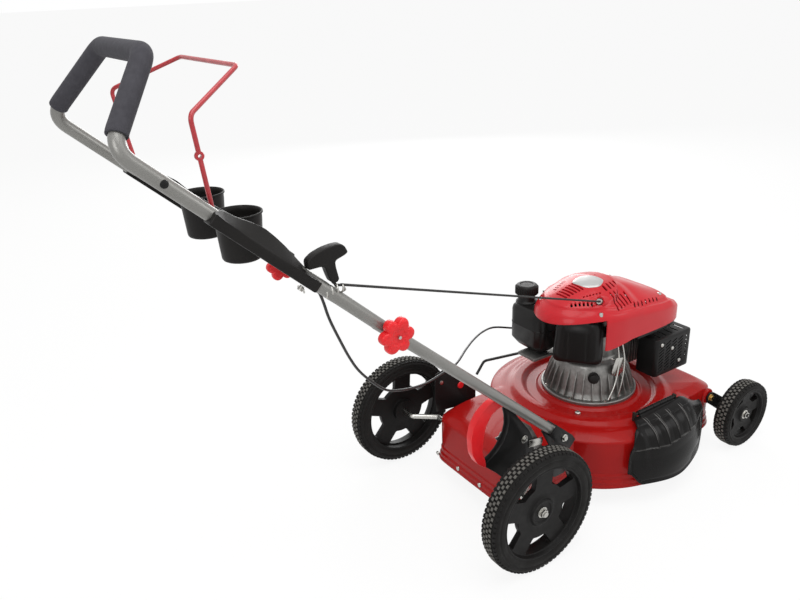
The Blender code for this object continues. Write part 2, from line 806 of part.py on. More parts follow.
def engine_pieces(red, steel, cast, dark_steel):
    axis = (0, 0, 1)
    centre = (engine_x, 0, 0)
    base = platform_z + seat_gap
    case = turned(
        "engine_block",
        [
            (0, base),
            (0.118, base),
            (0.118, base + 0.009),
            (0.102, base + 0.015),
            (0.092, 0.255),
            (0.084, 0.275),
            (0.066, 0.287),
            (0.060, 0.345),
            (0, 0.345),
        ],
        centre,
        axis,
        32,
        cast,
    )
    barrel = block("add_barrel_block", (0.430, -0.044, 0.226), (0.606, 0.056, 0.336), 0.010, cast)
    for k in range(5):
        x = 0.516 + 0.017 * k
        outline = [(x, 0.215), (x + 0.007, 0.215), (x + 0.007, 0.262), (x, 0.262)]
        cut(barrel, prism(f"cut_fin_{k}", outline, -0.06, 0.07, "xz", cast))
    deck_plate = []
    for k in range(15):
        angle = math.radians(-72 + 144 * k / 14)
        reach = housing_reach(angle) - 0.001
        deck_plate.append((engine_x + reach * math.cos(angle), reach * math.sin(angle)))
    shroud = prism("add_shroud", deck_plate, 0.3425, housing_hem_z - seat_gap, "xy", cast)
    shelf = block("add_shelf", (0.262, 0.045, 0.2752), (0.374, 0.105, 0.283 - seat_gap), 0.004, cast)
    face_way = Vector((-0.795, -0.607, 0))
    inlet_start = Vector((engine_x, 0, 0.318)) + face_way * 0.050
    inlet_end = Vector((engine_x, 0, 0.318)) + face_way * 0.0730
    inlet = rod("add_inlet", 0.014, inlet_start, inlet_end, 12, cast)
    add(case, barrel, shroud, shelf, inlet)
    shaft_hole = across_flats(shaft_d / 2, 16) + turn_gap
    cut(case, rod("cut_shaft", shaft_hole, (engine_x, 0, 0.15), (engine_x, 0, 0.40), 16, cast))
    blower_housing(red)
    shaft = turned(
        "crankshaft",
        [
            (0, blade_z + 0.0026),
            (0.020, blade_z + 0.0026),
            (0.020, blade_z + 0.014),
            (shaft_d / 2, blade_z + 0.018),
            (shaft_d / 2, 0.371),
            (0.009, 0.371),
            (0.009, 0.412),
            (0, 0.412),
        ],
        centre,
        axis,
        16,
        steel,
    )
    wheel_rings = [
        (0.009 + seat_gap, 0.3715),
        (0.060, 0.3715),
        (0.068, 0.380),
        (0.068, 0.404),
        (0.060, 0.404),
        (0.056, 0.388),
        (0.020, 0.388),
        (0.020, 0.400),
        (0.009 + seat_gap, 0.400),
    ]
    flywheel = turned("flywheel", wheel_rings, centre, axis, 16, cast, closed=True)
    half = blade_length / 2
    blade_outline = [
        (-half, -0.014), (-half + 0.010, -0.027), (-0.060, -0.027), (0.0, -0.025), (0.060, -0.027),
        (half - 0.004, -0.027), (half, -0.014), (half, 0.014), (half - 0.010, 0.027), (0.060, 0.027),
        (0.0, 0.025), (-0.060, 0.027), (-half + 0.004, 0.027), (-half, 0.014),
    ]
    swing = math.radians(28)
    spun = []
    for a, b in blade_outline:
        x = engine_x + a * math.cos(swing) - b * math.sin(swing)
        spun.append((x, a * math.sin(swing) + b * math.cos(swing)))
    blade = prism("blade", spun, blade_z - 0.002, blade_z + 0.002, "xy", dark_steel)
    hole = across_flats(0.005, 12) + bolt_gap
    below = (engine_x, 0, blade_z - 0.01)
    cut(blade, rod("cut_blade", hole, below, (engine_x, 0, blade_z + 0.01), 12, steel))
    bolt = turned(
        "blade_bolt",
        [
            (0, blade_z - 0.012),
            (0.011, blade_z - 0.012, "hex"),
            (0.011, blade_z - 0.005, "hex"),
            (0.014, blade_z - 0.005),
            (0.014, blade_z - 0.002 - seat_gap),
            (0.005, blade_z - 0.002 - seat_gap),
            (0.005, blade_z + 0.0022),
            (0, blade_z + 0.0022),
        ],
        centre,
        axis,
        12,
        steel,
    )
    for obj in (shaft, flywheel, blade, bolt):
        pivoted(obj, (engine_x, 0, blade_z))


def tank_pieces(black, dark):
    """The fuel tank with its neck, and the cap that turns on the neck."""
    low_x, high_x, low_y, high_y = 0.269, 0.349, 0.034, 0.152
    rows = []
    for inset, z in ((0.026, 0.283), (0.0, 0.311), (0.0, 0.392), (0.010, 0.402)):
        corners = [
            (low_x + inset, low_y + inset),
            (high_x - inset, low_y + inset),
            (high_x - inset, high_y - inset),
            (low_x + inset, high_y - inset),
        ]
        rows.append([(*p, z) for p in rounded(corners, 0.030 - inset * 0.5, 3)])
    tank = lofted("fuel_tank", rows, black)
    neck_x, neck_y = 0.306, 0.125
    neck_top = 0.4385
    cap_low = 0.424
    cap_high = 0.4485
    neck = rod("add_neck", neck_r, (neck_x, neck_y, 0.396), (neck_x, neck_y, neck_top), 20, black)
    add(tank, neck)
    inside = across_flats(neck_r, 20) + bolt_gap
    rings = [
        (0, neck_top + bolt_gap),
        (inside, neck_top + bolt_gap),
        (inside, cap_low),
        (cap_r * 0.98, cap_low, "ribbed"),
        (cap_r, cap_low + 0.004, "ribbed"),
        (cap_r, cap_high - 0.006, "ribbed"),
        (cap_r * 0.86, cap_high),
        (0, cap_high + 0.001),
    ]
    cap = turned("fuel_cap", rings, (neck_x, neck_y, 0), (0, 0, 1), 24, dark)
    pivoted(cap, (neck_x, neck_y, cap_low))


def lobe_piece(black):
    """The air filter cover, whose face looks to the rear and right."""
    out = Vector((-0.795, -0.607))
    along = Vector((0.607, -0.795))
    face = Vector((0.3095, -0.0485))
    rows = []
    steps = [(0.0, 0.012), (0.006, 0.003), (0.012, 0.0), (0.034, 0.0), (0.036, 0.004)]
    for depth, inset in steps:
        w, h = 0.060 - inset, 0.0555 - inset
        corners = [(-w, -h), (w, -h), (w * 0.94, h), (-w * 0.86, h)]
        row = []
        for a, b in rounded(corners, 0.020, 3):
            spot = face - out * depth + along * a
            row.append((spot.x, spot.y, 0.3455 + b))
        rows.append(row)
    lofted("air_filter_cover", rows, black)


def side_engine_pieces(black, paint, steel, cast, dark_steel):
    guard = block("muffler_guard", (0.500, -0.132, 0.226), (0.632, -0.068, 0.327), 0.008, paint)
    hollow = block("cut_guard", (0.5015, -0.1305, 0.2275), (0.6305, -0.040, 0.3255), 0.007, paint)
    cut(guard, hollow)
    for k in range(6):
        z = 0.240 + 0.0145 * k
        slot = [(0.514, z), (0.618, z), (0.618, z + 0.0065), (0.514, z + 0.0065)]
        cut(guard, prism(f"cut_slot_{k}", slot, -0.14, -0.125, "xz", paint))
    muffler = block("muffler", (0.512, -0.124, 0.236), (0.620, -0.072, 0.317), 0.012, dark_steel)
    pipe = rod("add_pipe", 0.012, (0.566, -0.076, 0.280), (0.566, -0.0445, 0.280), 12, dark_steel)
    add(muffler, pipe)
    for k, x in enumerate((0.532, 0.600)):
        spacer_end = (x, -0.1305 + seat_gap, 0.2650)
        add(muffler, rod(f"add_spacer_{k}", 0.003, (x, -0.122, 0.2650), spacer_end, 8, dark_steel))
    plug = [
        (0, 0.6065),
        (0.010, 0.6065, "hex"),
        (0.010, 0.613, "hex"),
        (0.007, 0.614),
        (0.007, 0.622),
        (0.010, 0.623),
        (0.010, 0.650),
        (0.006, 0.655),
        (0, 0.655),
    ]
    turned("spark_plug", plug, (0, 0.006, 0.282), (1, 0, 0), 12, paint)
    out = Vector((-0.65, -0.76, 0.186)).normalized()
    seat = Vector((engine_x, 0, 0.252)) + Vector((-0.65, -0.76, 0)) * 0.0926
    rings = [(0, 0), (0.014, 0), (0.014, 0.005), (0.011, 0.005, "ribbed"), (0.011, 0.016, "ribbed")]
    rings.append((0, 0.017))
    turned("oil_plug", rings, seat, out, 24, black)
    carb = block("carburettor", (0.508, 0.0563, 0.256), (0.562, 0.098, 0.314), 0.008, cast)
    add(carb, rod("add_bowl", 0.019, (0.535, 0.078, 0.238), (0.535, 0.078, 0.262), 14, cast))
    rope_hole = across_flats(rope_d / 2, 16) + turn_gap
    rings = [(rope_hole, -0.006), (0.0085, -0.006), (0.0085, -0.003), (0.0065, 0.004), (rope_hole, 0.004)]
    turned("rope_eyelet", rings, rope_end(), rope_line(), 16, steel, closed=True)
    path = bent([(0.1735, 0.160, 0.222), (0.206, 0.170, 0.246), (0.300, 0.104, 0.272)], [0.015], 4)
    swept("control_rod", path, 0.0035, 8, paint)


def rope_start():
    return Vector((-0.3935, -0.2005, 0.7215))


def rope_end():
    return Vector((0.3475, -0.0755, 0.4550))


def rope_line():
    return (rope_start() - rope_end()).normalized()


# Handle

def upper_line(x):
    """Height of the upper tube's centre line at this x, below its bend."""
    slope = (0.937 - clamp_z) / (-0.656 - clamp_x)
    return clamp_z + (x - clamp_x) * slope


def loop_corners():
    """The upper tube from its right lower end round to its left one."""
    low_x = clamp_x + 0.022
    half = [
        (low_x, upper_tube_y, upper_line(low_x)),
        (-0.560, 0.198, upper_line(-0.560)),
        (-0.697, 0.188, upper_line(-0.697)),
        (-0.6165, 0.1135, 1.081),
    ]
    right = [(x, -y, z) for x, y, z in half]
    return right + half[::-1]


def handle_tubes(silver, foam):
    tube_r = tube_d / 2
    bore = tube_r - tube_wall
    along = Vector((clamp_x - handle_pivot_x, 0, clamp_z - handle_pivot_z)).normalized()
    pivot = Vector((handle_pivot_x, 0, handle_pivot_z))
    clamp = Vector((clamp_x, 0, clamp_z))
    bolt_hole = across_flats(0.004, 8) + bolt_gap
    clamp_hole = across_flats(0.003, 8) + bolt_gap
    for name, sign in (("left", 1), ("right", -1)):
        side = Vector((0, sign * lower_tube_y, 0))
        path = [pivot - along * 0.034 + side, clamp + along * 0.016 + side]
        tube = swept(f"lower_tube_{name}", path, tube_r, 12, silver, bore)
        for label, spot, size in (("pivot", pivot, bolt_hole), ("clamp", clamp, clamp_hole)):
            start = spot + Vector((0, sign * 0.15, 0))
            end = spot + Vector((0, sign * 0.25, 0))
            cut(tube, rod(f"cut_{label}_{name}", size, start, end, 8, silver))
        pivoted(tube, pivot)
    path = bent(loop_corners(), [0.10, 0.035, 0.030, 0.030, 0.035, 0.10], 4)
    upper = swept("upper_tube", path, tube_r, 10, silver, bore)
    across = (Vector((clamp_x, -0.30, clamp_z)), Vector((clamp_x, 0.30, clamp_z)))
    cut(upper, rod("cut_upper_clamp", clamp_hole, across[0], across[1], 8, silver))
    pin_hole = across_flats(bail_d / 2, 8) + turn_gap
    for name, sign in (("left", 1), ("right", -1)):
        start = (bail_pivot_x, sign * 0.170, upper_line(bail_pivot_x))
        end = (bail_pivot_x, sign * 0.193, upper_line(bail_pivot_x))
        cut(upper, rod(f"cut_bail_{name}", pin_hole, start, end, 8, silver))
    pivoted(upper, (clamp_x, 0, clamp_z))
    inner = tube_r / math.cos(math.pi / 10) + seat_gap
    foam_low_z = 0.990
    low = next(i for i, p in enumerate(path) if p.z > foam_low_z)
    cover = path[low:len(path) - low]
    pivoted(swept("foam_grip", cover, foam_d / 2, 10, foam, inner), (clamp_x, 0, clamp_z))


def clamp_pieces(red, steel):
    tube_r = tube_d / 2
    head = lower_tube_y - tube_r - seat_gap
    knob_start = upper_tube_y + tube_r + 0.0012
    knob_end = knob_start + 0.018
    for name, sign in (("left", 1), ("right", -1)):
        base = (clamp_x, 0, clamp_z)
        rings = [
            (0, head - 0.006),
            (0.006, head - 0.006),
            (0.0075, head - 0.003),
            (0.0075, head),
            (0.003, head),
            (0.003, knob_end + 0.002),
            (0, knob_end + 0.003),
        ]
        turned(f"clamp_bolt_{name}", rings, base, (0, sign, 0), 12, steel)
        hole = across_flats(0.003, 24) + turn_gap
        rings = [
            (hole, knob_start),
            (0.009, knob_start),
            (0.011, knob_start + 0.003, "round"),
            (knob_r, knob_start + 0.005, "star"),
            (knob_r, knob_end - 0.004, "star"),
            (knob_r * 0.82, knob_end, "star"),
            (hole, knob_end),
        ]
        knob = turned(f"knob_{name}", rings, base, (0, sign, 0), 24, red, closed=True)
        pivoted(knob, (clamp_x, sign * knob_start, clamp_z))
        pivoted(bpy.data.objects[f"clamp_bolt_{name}"], (clamp_x, 0, clamp_z))


def console(black):
    """The tray between the tubes: a cover over each tube, a sloping plate and two cups."""
    tube_r = tube_d / 2
    slope = Vector((-0.656 - clamp_x, 0.937 - clamp_z)).normalized()
    over = Vector((slope.y, -slope.x))
    if over.y < 0:
        over = -over
    origin = Vector((clamp_x, clamp_z))

    def at(s, h):
        spot = origin + slope * s + over * h
        return (spot.x, spot.y)

    start = 0.175
    end = 0.380
    low_h = -tube_r - 0.0024
    side = [
        at(start, low_h), at(start, 0.0060), at(start + 0.008, 0.0105), at(start + 0.030, 0.0110),
        at(start + 0.045, 0.0140), at(start + 0.066, 0.0185), at(start + 0.080, 0.0215),
        at(start + 0.102, 0.0245), at(start + 0.122, 0.0260), at(start + 0.140, 0.0235),
        at(start + 0.157, 0.0195), at(start + 0.172, 0.0160), at(end - 0.018, 0.0148), at(end, 0.0085),
        at(end, low_h),
    ]
    parts = []
    for name, sign in (("left", 1), ("right", -1)):
        low, high = (0.190, 0.2165) if sign > 0 else (-0.2165, -0.190)
        cover = prism(f"add_cover_{name}", rounded(side, 0.004, 1), low, high, "xz", black)
        ends = []
        for x in (-0.380, -0.560, -0.640):
            y = mixed([(-0.560, 0.198), (clamp_x + 0.022, upper_tube_y)], x)
            if x < -0.560:
                y = 0.198 + (0.188 - 0.198) * (x + 0.560) / (-0.697 + 0.560)
            ends.append(Vector((x, sign * y, upper_line(x))))
        cut(cover, swept(f"cut_tube_{name}", ends, tube_r + 0.0006, 12, black))
        parts.append(cover)
    tray_low, tray_high = tube_r + 0.0012, tube_r + 0.0052
    first, last = start + 0.052, end - 0.070
    plate = [at(first, tray_low), at(first, tray_high), at(last, tray_high), at(last, tray_low)]
    tray = prism("console", plate, -0.196, 0.196, "xz", black)
    add(tray, *parts)
    cup_x = -0.502
    rim_z = 0.8325
    floor_z = rim_z - cup_height
    inner_r = cup_d / 2 - cup_wall
    for name, sign in (("left", 1), ("right", -1)):
        low = (cup_x, sign * cup_y, floor_z)
        high = (cup_x, sign * cup_y, rim_z)
        add(tray, rod(f"add_cup_{name}", cup_d / 2, low, high, 18, black))
    for name, sign in (("left", 1), ("right", -1)):
        low = (cup_x, sign * cup_y, floor_z + cup_wall)
        high = (cup_x, sign * cup_y, rim_z + 0.06)
        cut(tray, rod(f"cut_cup_{name}", inner_r, low, high, 18, black))
    pivoted(tray, (clamp_x, 0, clamp_z))


def bail(red):
    """The thin lever that lies against the grip while the blade turns."""
    foot_y = 0.180
    bail_pivot_z = upper_line(bail_pivot_x)
    half = [
        (bail_pivot_x, 0.1905, bail_pivot_z),
        (bail_pivot_x, foot_y, bail_pivot_z),
        (-0.594, 0.196, 1.006),
        (-0.491, 0.121, 1.055),
    ]
    right = [(x, -y, z) for x, y, z in half]
    path = bent(right + half[::-1], [0.006, 0.014, 0.016, 0.016, 0.014, 0.006], 3)
    bar = swept("bail", path, bail_d / 2, 6, red)
    pivoted(bar, (bail_pivot_x, 0, bail_pivot_z))


def starter_pieces(black, steel, cord):
    centre = Vector((-0.413, -0.200, 0.771))
    outline = [
        (-0.4515, 0.7745), (-0.439, 0.7830), (-0.421, 0.7885), (-0.404, 0.7905), (-0.392, 0.7900),
        (-0.385, 0.7850), (-0.380, 0.7740), (-0.386, 0.7705), (-0.4035, 0.7650), (-0.4030, 0.7550),
        (-0.3985, 0.7340), (-0.4025, 0.7295), (-0.4125, 0.7305), (-0.4165, 0.7400), (-0.4215, 0.7570),
        (-0.4270, 0.7605), (-0.4410, 0.7605), (-0.4500, 0.7600),
    ]
    grip = prism("starter_grip", rounded(outline, 0.004, 1), -0.2085, -0.1920, "xz", black)
    pivoted(grip, centre)
    start = rope_start()
    end = rope_end()
    top = Vector((-0.4078, -0.2003, 0.7272))
    path = bent([top, start + Vector((-0.0075, 0, 0.0008)), end], [0.006], 4)
    swept("starter_rope", path, rope_d / 2, 8, cord)
    line = rope_line()
    n, u, v = frame_of(line)
    middle = start + line * -0.004
    coil = []
    turns = 1.6
    steps = 22
    for k in range(steps + 1):
        angle = math.pi / 2 - 2 * math.pi * turns * (1 - k / steps)
        along = line * (0.004 * turns * (0.5 - k / steps))
        coil.append(middle + along + (u * math.cos(angle) + v * math.sin(angle)) * 0.0068)
    foot_x = -0.392
    foot = Vector((foot_x, -0.2003, upper_line(foot_x) + tube_d / 2 / math.cos(0.745) + 0.0012))
    coil.append(foot + Vector((0.004, -0.005, 0.004)))
    coil.append(foot)
    swept("rope_guide", coil, 0.0012, 5, steel)
    nut_x = -0.462
    nut = [(-0.003, -0.0125), (0.003, -0.0125), (0.003, 0.0125), (-0.003, 0.0125)]
    spot = (nut_x, upper_line(nut_x) - tube_d / 2 / math.cos(0.745) - 0.0104)
    prism("wing_nut", [(spot[0] + a, spot[1] + b * 0.3) for a, b in nut], -0.209, -0.191, "xz", steel)


def brake_cable(black):
    """The cable from the console down to the engine, along its real route."""
    route = [
        (-0.4292, -0.182, 0.7195),
        (-0.4235, -0.1805, 0.7120),
        (-0.4140, -0.175, 0.690),
        (-0.400, -0.165, 0.651),
        (-0.375, -0.150, 0.598),
        (-0.352, -0.137, 0.553),
        (-0.328, -0.124, 0.515),
        (-0.294, -0.110, 0.475),
        (-0.252, -0.094, 0.436),
        (-0.191, -0.070, 0.407),
        (-0.127, -0.045, 0.388),
        (-0.073, -0.025, 0.383),
        (-0.011, 0.005, 0.375),
        (0.060, 0.060, 0.367),
        (0.124, 0.110, 0.355),
        (0.186, 0.150, 0.343),
        (0.240, 0.172, 0.331),
        (0.300, 0.172, 0.312),
        (0.360, 0.158, 0.296),
        (0.420, 0.138, 0.288),
        (0.465, 0.104, 0.286),
        (0.488, 0.0885, 0.286),
        (0.5074, 0.0860, 0.286),
    ]
    fine = []
    count = len(route)
    for i in range(count - 1):
        a = Vector(route[max(i - 1, 0)])
        b, c = Vector(route[i]), Vector(route[i + 1])
        d = Vector(route[min(i + 2, count - 1)])
        for k in range(2):
            t = k / 2
            spot = b * 2 + (c - a) * t + (a * 2 - b * 5 + c * 4 - d) * t ** 2
            fine.append((spot + (b * 3 - a - c * 3 + d) * t ** 3) / 2)
    fine.append(Vector(route[-1]))
    swept("brake_cable", fine, cable_d / 2, 6, black)


def centre_on_origin():
    """Moves everything so that the whole object's box is centred over the origin."""
    bpy.context.view_layer.update()
    nodes = [obj for obj in bpy.data.objects if not obj.hide_render]
    xs = [(obj.matrix_world @ Vector(corner)).x for obj in nodes for corner in obj.bound_box]
    shift = (min(xs) + max(xs)) / 2
    for obj in bpy.data.objects:
        obj.location.x -= shift
    print("shift", round(shift, 6))


def main():
    for obj in list(bpy.data.objects):
        bpy.data.objects.remove(obj)
    deck_red = material("deck_red", (0.376, 0.022, 0.020), 0.0, 0.25)
    engine_red = material("engine_red", (0.638, 0.035, 0.040), 0.0, 0.35)
    grip_red = material("grip_red", (0.680, 0.018, 0.022), 0.0, 0.35)
    black = material("black_plastic", (0.027, 0.024, 0.023), 0.0, 0.45)
    black_paint = material("black_paint", (0.020, 0.019, 0.019), 0.0, 0.40)
    rubber = material("tyre_plastic", (0.023, 0.023, 0.021), 0.0, 0.75)
    foam = material("foam", (0.060, 0.058, 0.066), 0.0, 0.95)
    silver = material("tube_grey", (0.230, 0.220, 0.205), 0.6, 0.35)
    steel = material("plated_steel", (0.560, 0.550, 0.530), 1.0, 0.30)
    dark_steel = material("dark_steel", (0.060, 0.058, 0.055), 0.8, 0.50)
    cast = material("cast_aluminium", (0.420, 0.420, 0.410), 1.0, 0.55)
    brass = material("brass_plate", (0.600, 0.440, 0.180), 1.0, 0.35)
    cord = material("cord", (0.050, 0.048, 0.046), 0.0, 0.90)
    deck_pieces(deck_red, steel)
    cover_pieces(black, steel)
    handle_brackets(black_paint, steel)
    rear_running_gear(grip_red, black_paint, steel, cast)
    front_running_gear(black_paint, steel, brass)
    rear_z, front_z = rear_wheel_d / 2, front_wheel_d / 2
    for name, sign in (("left", 1), ("right", -1)):
        rear_at = (0, sign * rear_track / 2, rear_z)
        front_at = (wheelbase, sign * front_track / 2, front_z)
        finish = (black, rubber, steel)
        wheel(f"rear_{name}", rear_at, sign, rear_wheel_d, rear_tyre_w, rear_rod_d, 26, *finish)
        wheel(f"front_{name}", front_at, sign, front_wheel_d, front_tyre_w, front_rod_d, 20, *finish)
    engine_pieces(engine_red, steel, cast, dark_steel)
    tank_pieces(black, black_paint)
    lobe_piece(black)
    side_engine_pieces(black, black_paint, steel, cast, dark_steel)
    handle_tubes(silver, foam)
    clamp_pieces(grip_red, steel)
    console(black)
    bail(grip_red)
    starter_pieces(black, steel, cord)
    brake_cable(black_paint)
    centre_on_origin()


main()
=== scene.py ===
import json
import math

import bmesh
import bpy
from mathutils import Matrix, Vector
from mathutils.bvhtree import BVHTree


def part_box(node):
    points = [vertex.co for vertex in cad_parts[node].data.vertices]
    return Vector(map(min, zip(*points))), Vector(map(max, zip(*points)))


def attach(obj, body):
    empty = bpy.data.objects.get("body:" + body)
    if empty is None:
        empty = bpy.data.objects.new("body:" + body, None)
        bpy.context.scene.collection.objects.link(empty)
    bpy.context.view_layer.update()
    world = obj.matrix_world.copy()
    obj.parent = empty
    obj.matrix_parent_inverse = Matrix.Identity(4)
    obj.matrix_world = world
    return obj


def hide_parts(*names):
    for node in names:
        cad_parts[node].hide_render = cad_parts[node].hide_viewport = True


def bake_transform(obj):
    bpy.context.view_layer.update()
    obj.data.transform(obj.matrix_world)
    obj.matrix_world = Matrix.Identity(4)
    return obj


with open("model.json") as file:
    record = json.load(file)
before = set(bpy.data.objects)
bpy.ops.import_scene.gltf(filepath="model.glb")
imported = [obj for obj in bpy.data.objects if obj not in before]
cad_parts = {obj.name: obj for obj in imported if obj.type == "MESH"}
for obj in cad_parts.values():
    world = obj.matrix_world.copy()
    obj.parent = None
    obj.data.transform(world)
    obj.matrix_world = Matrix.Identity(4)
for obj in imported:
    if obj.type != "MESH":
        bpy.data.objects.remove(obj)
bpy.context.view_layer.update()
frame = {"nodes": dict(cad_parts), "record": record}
print("frame loaded:", len(frame["nodes"]), "nodes")

# x is counted from the rear axle while a piece is made; rearAxleX puts it in the frame
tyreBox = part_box("tyre_rear_left")
rearAxleX = (tyreBox[0].x + tyreBox[1].x) / 2

leftRight = (("left", 1), ("right", -1))


def linked(name, data):
    made = bpy.data.objects.new(name, data)
    bpy.context.scene.collection.objects.link(made)
    return made


camera = {
    "place": (-0.918, -1.180, 1.152),
    "yawDeg": 32.9,
    "downDeg": 22.6,
    "rollDeg": -2.37,
    "focalPixels": 758,
    "frameWidth": 800,
}


def makeCamera(c):
    yaw, down, roll = (math.radians(c[k]) for k in ("yawDeg", "downDeg", "rollDeg"))
    ahead = Vector((math.cos(down) * math.sin(yaw), math.cos(down) * math.cos(yaw), -math.sin(down)))
    right = Vector((math.cos(yaw), -math.sin(yaw), 0))
    up = right.cross(ahead)
    right, up = right * math.cos(roll) + up * math.sin(roll), up * math.cos(roll) - right * math.sin(roll)
    data = bpy.data.cameras.new("photoCamera")
    data.sensor_width = 36
    data.lens = 36 * c["focalPixels"] / c["frameWidth"]
    data.clip_start, data.clip_end = 0.05, 200
    made = linked("photoCamera", data)
    x, y, z = c["place"]
    turn = Matrix((right, up, -ahead)).transposed().to_4x4()
    made.matrix_world = Matrix.Translation((x + rearAxleX, y, z)) @ turn
    bpy.context.scene.camera = made


def rectangle(a0, b0, a1, b1):
    return [(a0, b0), (a1, b0), (a1, b1), (a0, b1)]


def addNode(tree, kind, inputs=None, **fields):
    made = tree.nodes.new(kind)
    for key, value in fields.items():
        setattr(made, key, value)
    for key, value in (inputs or {}).items():
        if isinstance(value, bpy.types.NodeSocket):
            tree.links.new(value, made.inputs[key])
        else:
            made.inputs[key].default_value = value
    return made


def linear(text):
    made = []
    for i in (1, 3, 5):
        c = int(text[i:i + 2], 16) / 255
        made.append(c / 12.92 if c <= 0.04045 else ((c + 0.055) / 1.055) ** 2.4)
    return (*made, 1.0)


studio = {
    "floorColour": "#F2F2F1",
    "floorGlow": 0.88,
    "floorHalf": 90,
    "roomLight": 0.62,
    "lamps": (
        # name, place, aim, size, watts
        ("overhead", (-0.2, -0.6, 2.9), (0.0, 0.0, 0.3), 2.6, 46),
        ("leftSide", (-2.6, -1.6, 1.9), (0.0, 0.0, 0.4), 1.6, 20),
        ("rightSide", (2.2, -2.4, 1.8), (0.2, 0.0, 0.3), 1.6, 18),
        ("behind", (2.3, 3.3, 1.7), (0.3, 0.0, 0.2), 2.6, 70),
    ),
}


def raysOf(tree, *kinds):
    # 1 for the camera's own rays and for these kinds of ray, 0 for the rest
    path = addNode(tree, "ShaderNodeLightPath")
    seen = path.outputs["Is Camera Ray"]
    for kind in kinds:
        seen = addNode(tree, "ShaderNodeMath", {0: seen, 1: path.outputs[kind]}, operation="MAXIMUM").outputs[0]
    return seen


def makeStudio(s):
    world = bpy.data.worlds.new("studioRoom")
    bpy.context.scene.world = world
    world.use_nodes = True
    tree = world.node_tree
    tree.nodes.clear()
    seen = raysOf(tree, "Is Glossy Ray", "Is Transmission Ray")
    dim = addNode(tree, "ShaderNodeBackground", {"Color": (1, 1, 1, 1), "Strength": s["roomLight"]})
    white = addNode(tree, "ShaderNodeBackground", {"Color": (1, 1, 1, 1), "Strength": 1.0})
    mixed = addNode(tree, "ShaderNodeMixShader", {0: seen, 1: dim.outputs[0], 2: white.outputs[0]})
    addNode(tree, "ShaderNodeOutputWorld", {"Surface": mixed.outputs[0]})

    half = s["floorHalf"]
    mesh = bpy.data.meshes.new("studioFloor")
    mesh.from_pydata([(x, y, 0) for x, y in rectangle(-half, -half, half, half)], [], [(0, 1, 2, 3)])
    floor = linked("studioFloor", mesh)
    made = bpy.data.materials.new("whitePaperFloor")
    made.use_nodes = True
    tree = made.node_tree
    tree.nodes.clear()
    seen = raysOf(tree, "Is Glossy Ray")
    share = addNode(tree, "ShaderNodeMath", {0: seen, 1: s["floorGlow"]}, operation="MULTIPLY")
    paper = addNode(tree, "ShaderNodeBsdfDiffuse", {"Color": linear(s["floorColour"])})
    glow = addNode(tree, "ShaderNodeEmission", {"Color": (1, 1, 1, 1), "Strength": 1.0})
    mixed = addNode(tree, "ShaderNodeMixShader", {0: share.outputs[0], 1: paper.outputs[0], 2: glow.outputs[0]})
    addNode(tree, "ShaderNodeOutputMaterial", {"Surface": mixed.outputs[0]})
    mesh.materials.append(made)

    for name, place, aim, size, watts in s["lamps"]:
        lamp = bpy.data.lights.new(name, "AREA")
        lamp.shape = "DISK"
        lamp.size = size
        lamp.energy = watts
        made = linked(name, lamp)
        made.location = place
        made.rotation_euler = (Vector(place) - Vector(aim)).to_track_quat("Z", "Y").to_euler()
    bpy.context.scene.view_settings.view_transform = "Standard"


makeCamera(camera)
makeStudio(studio)
print("camera and studio ready")


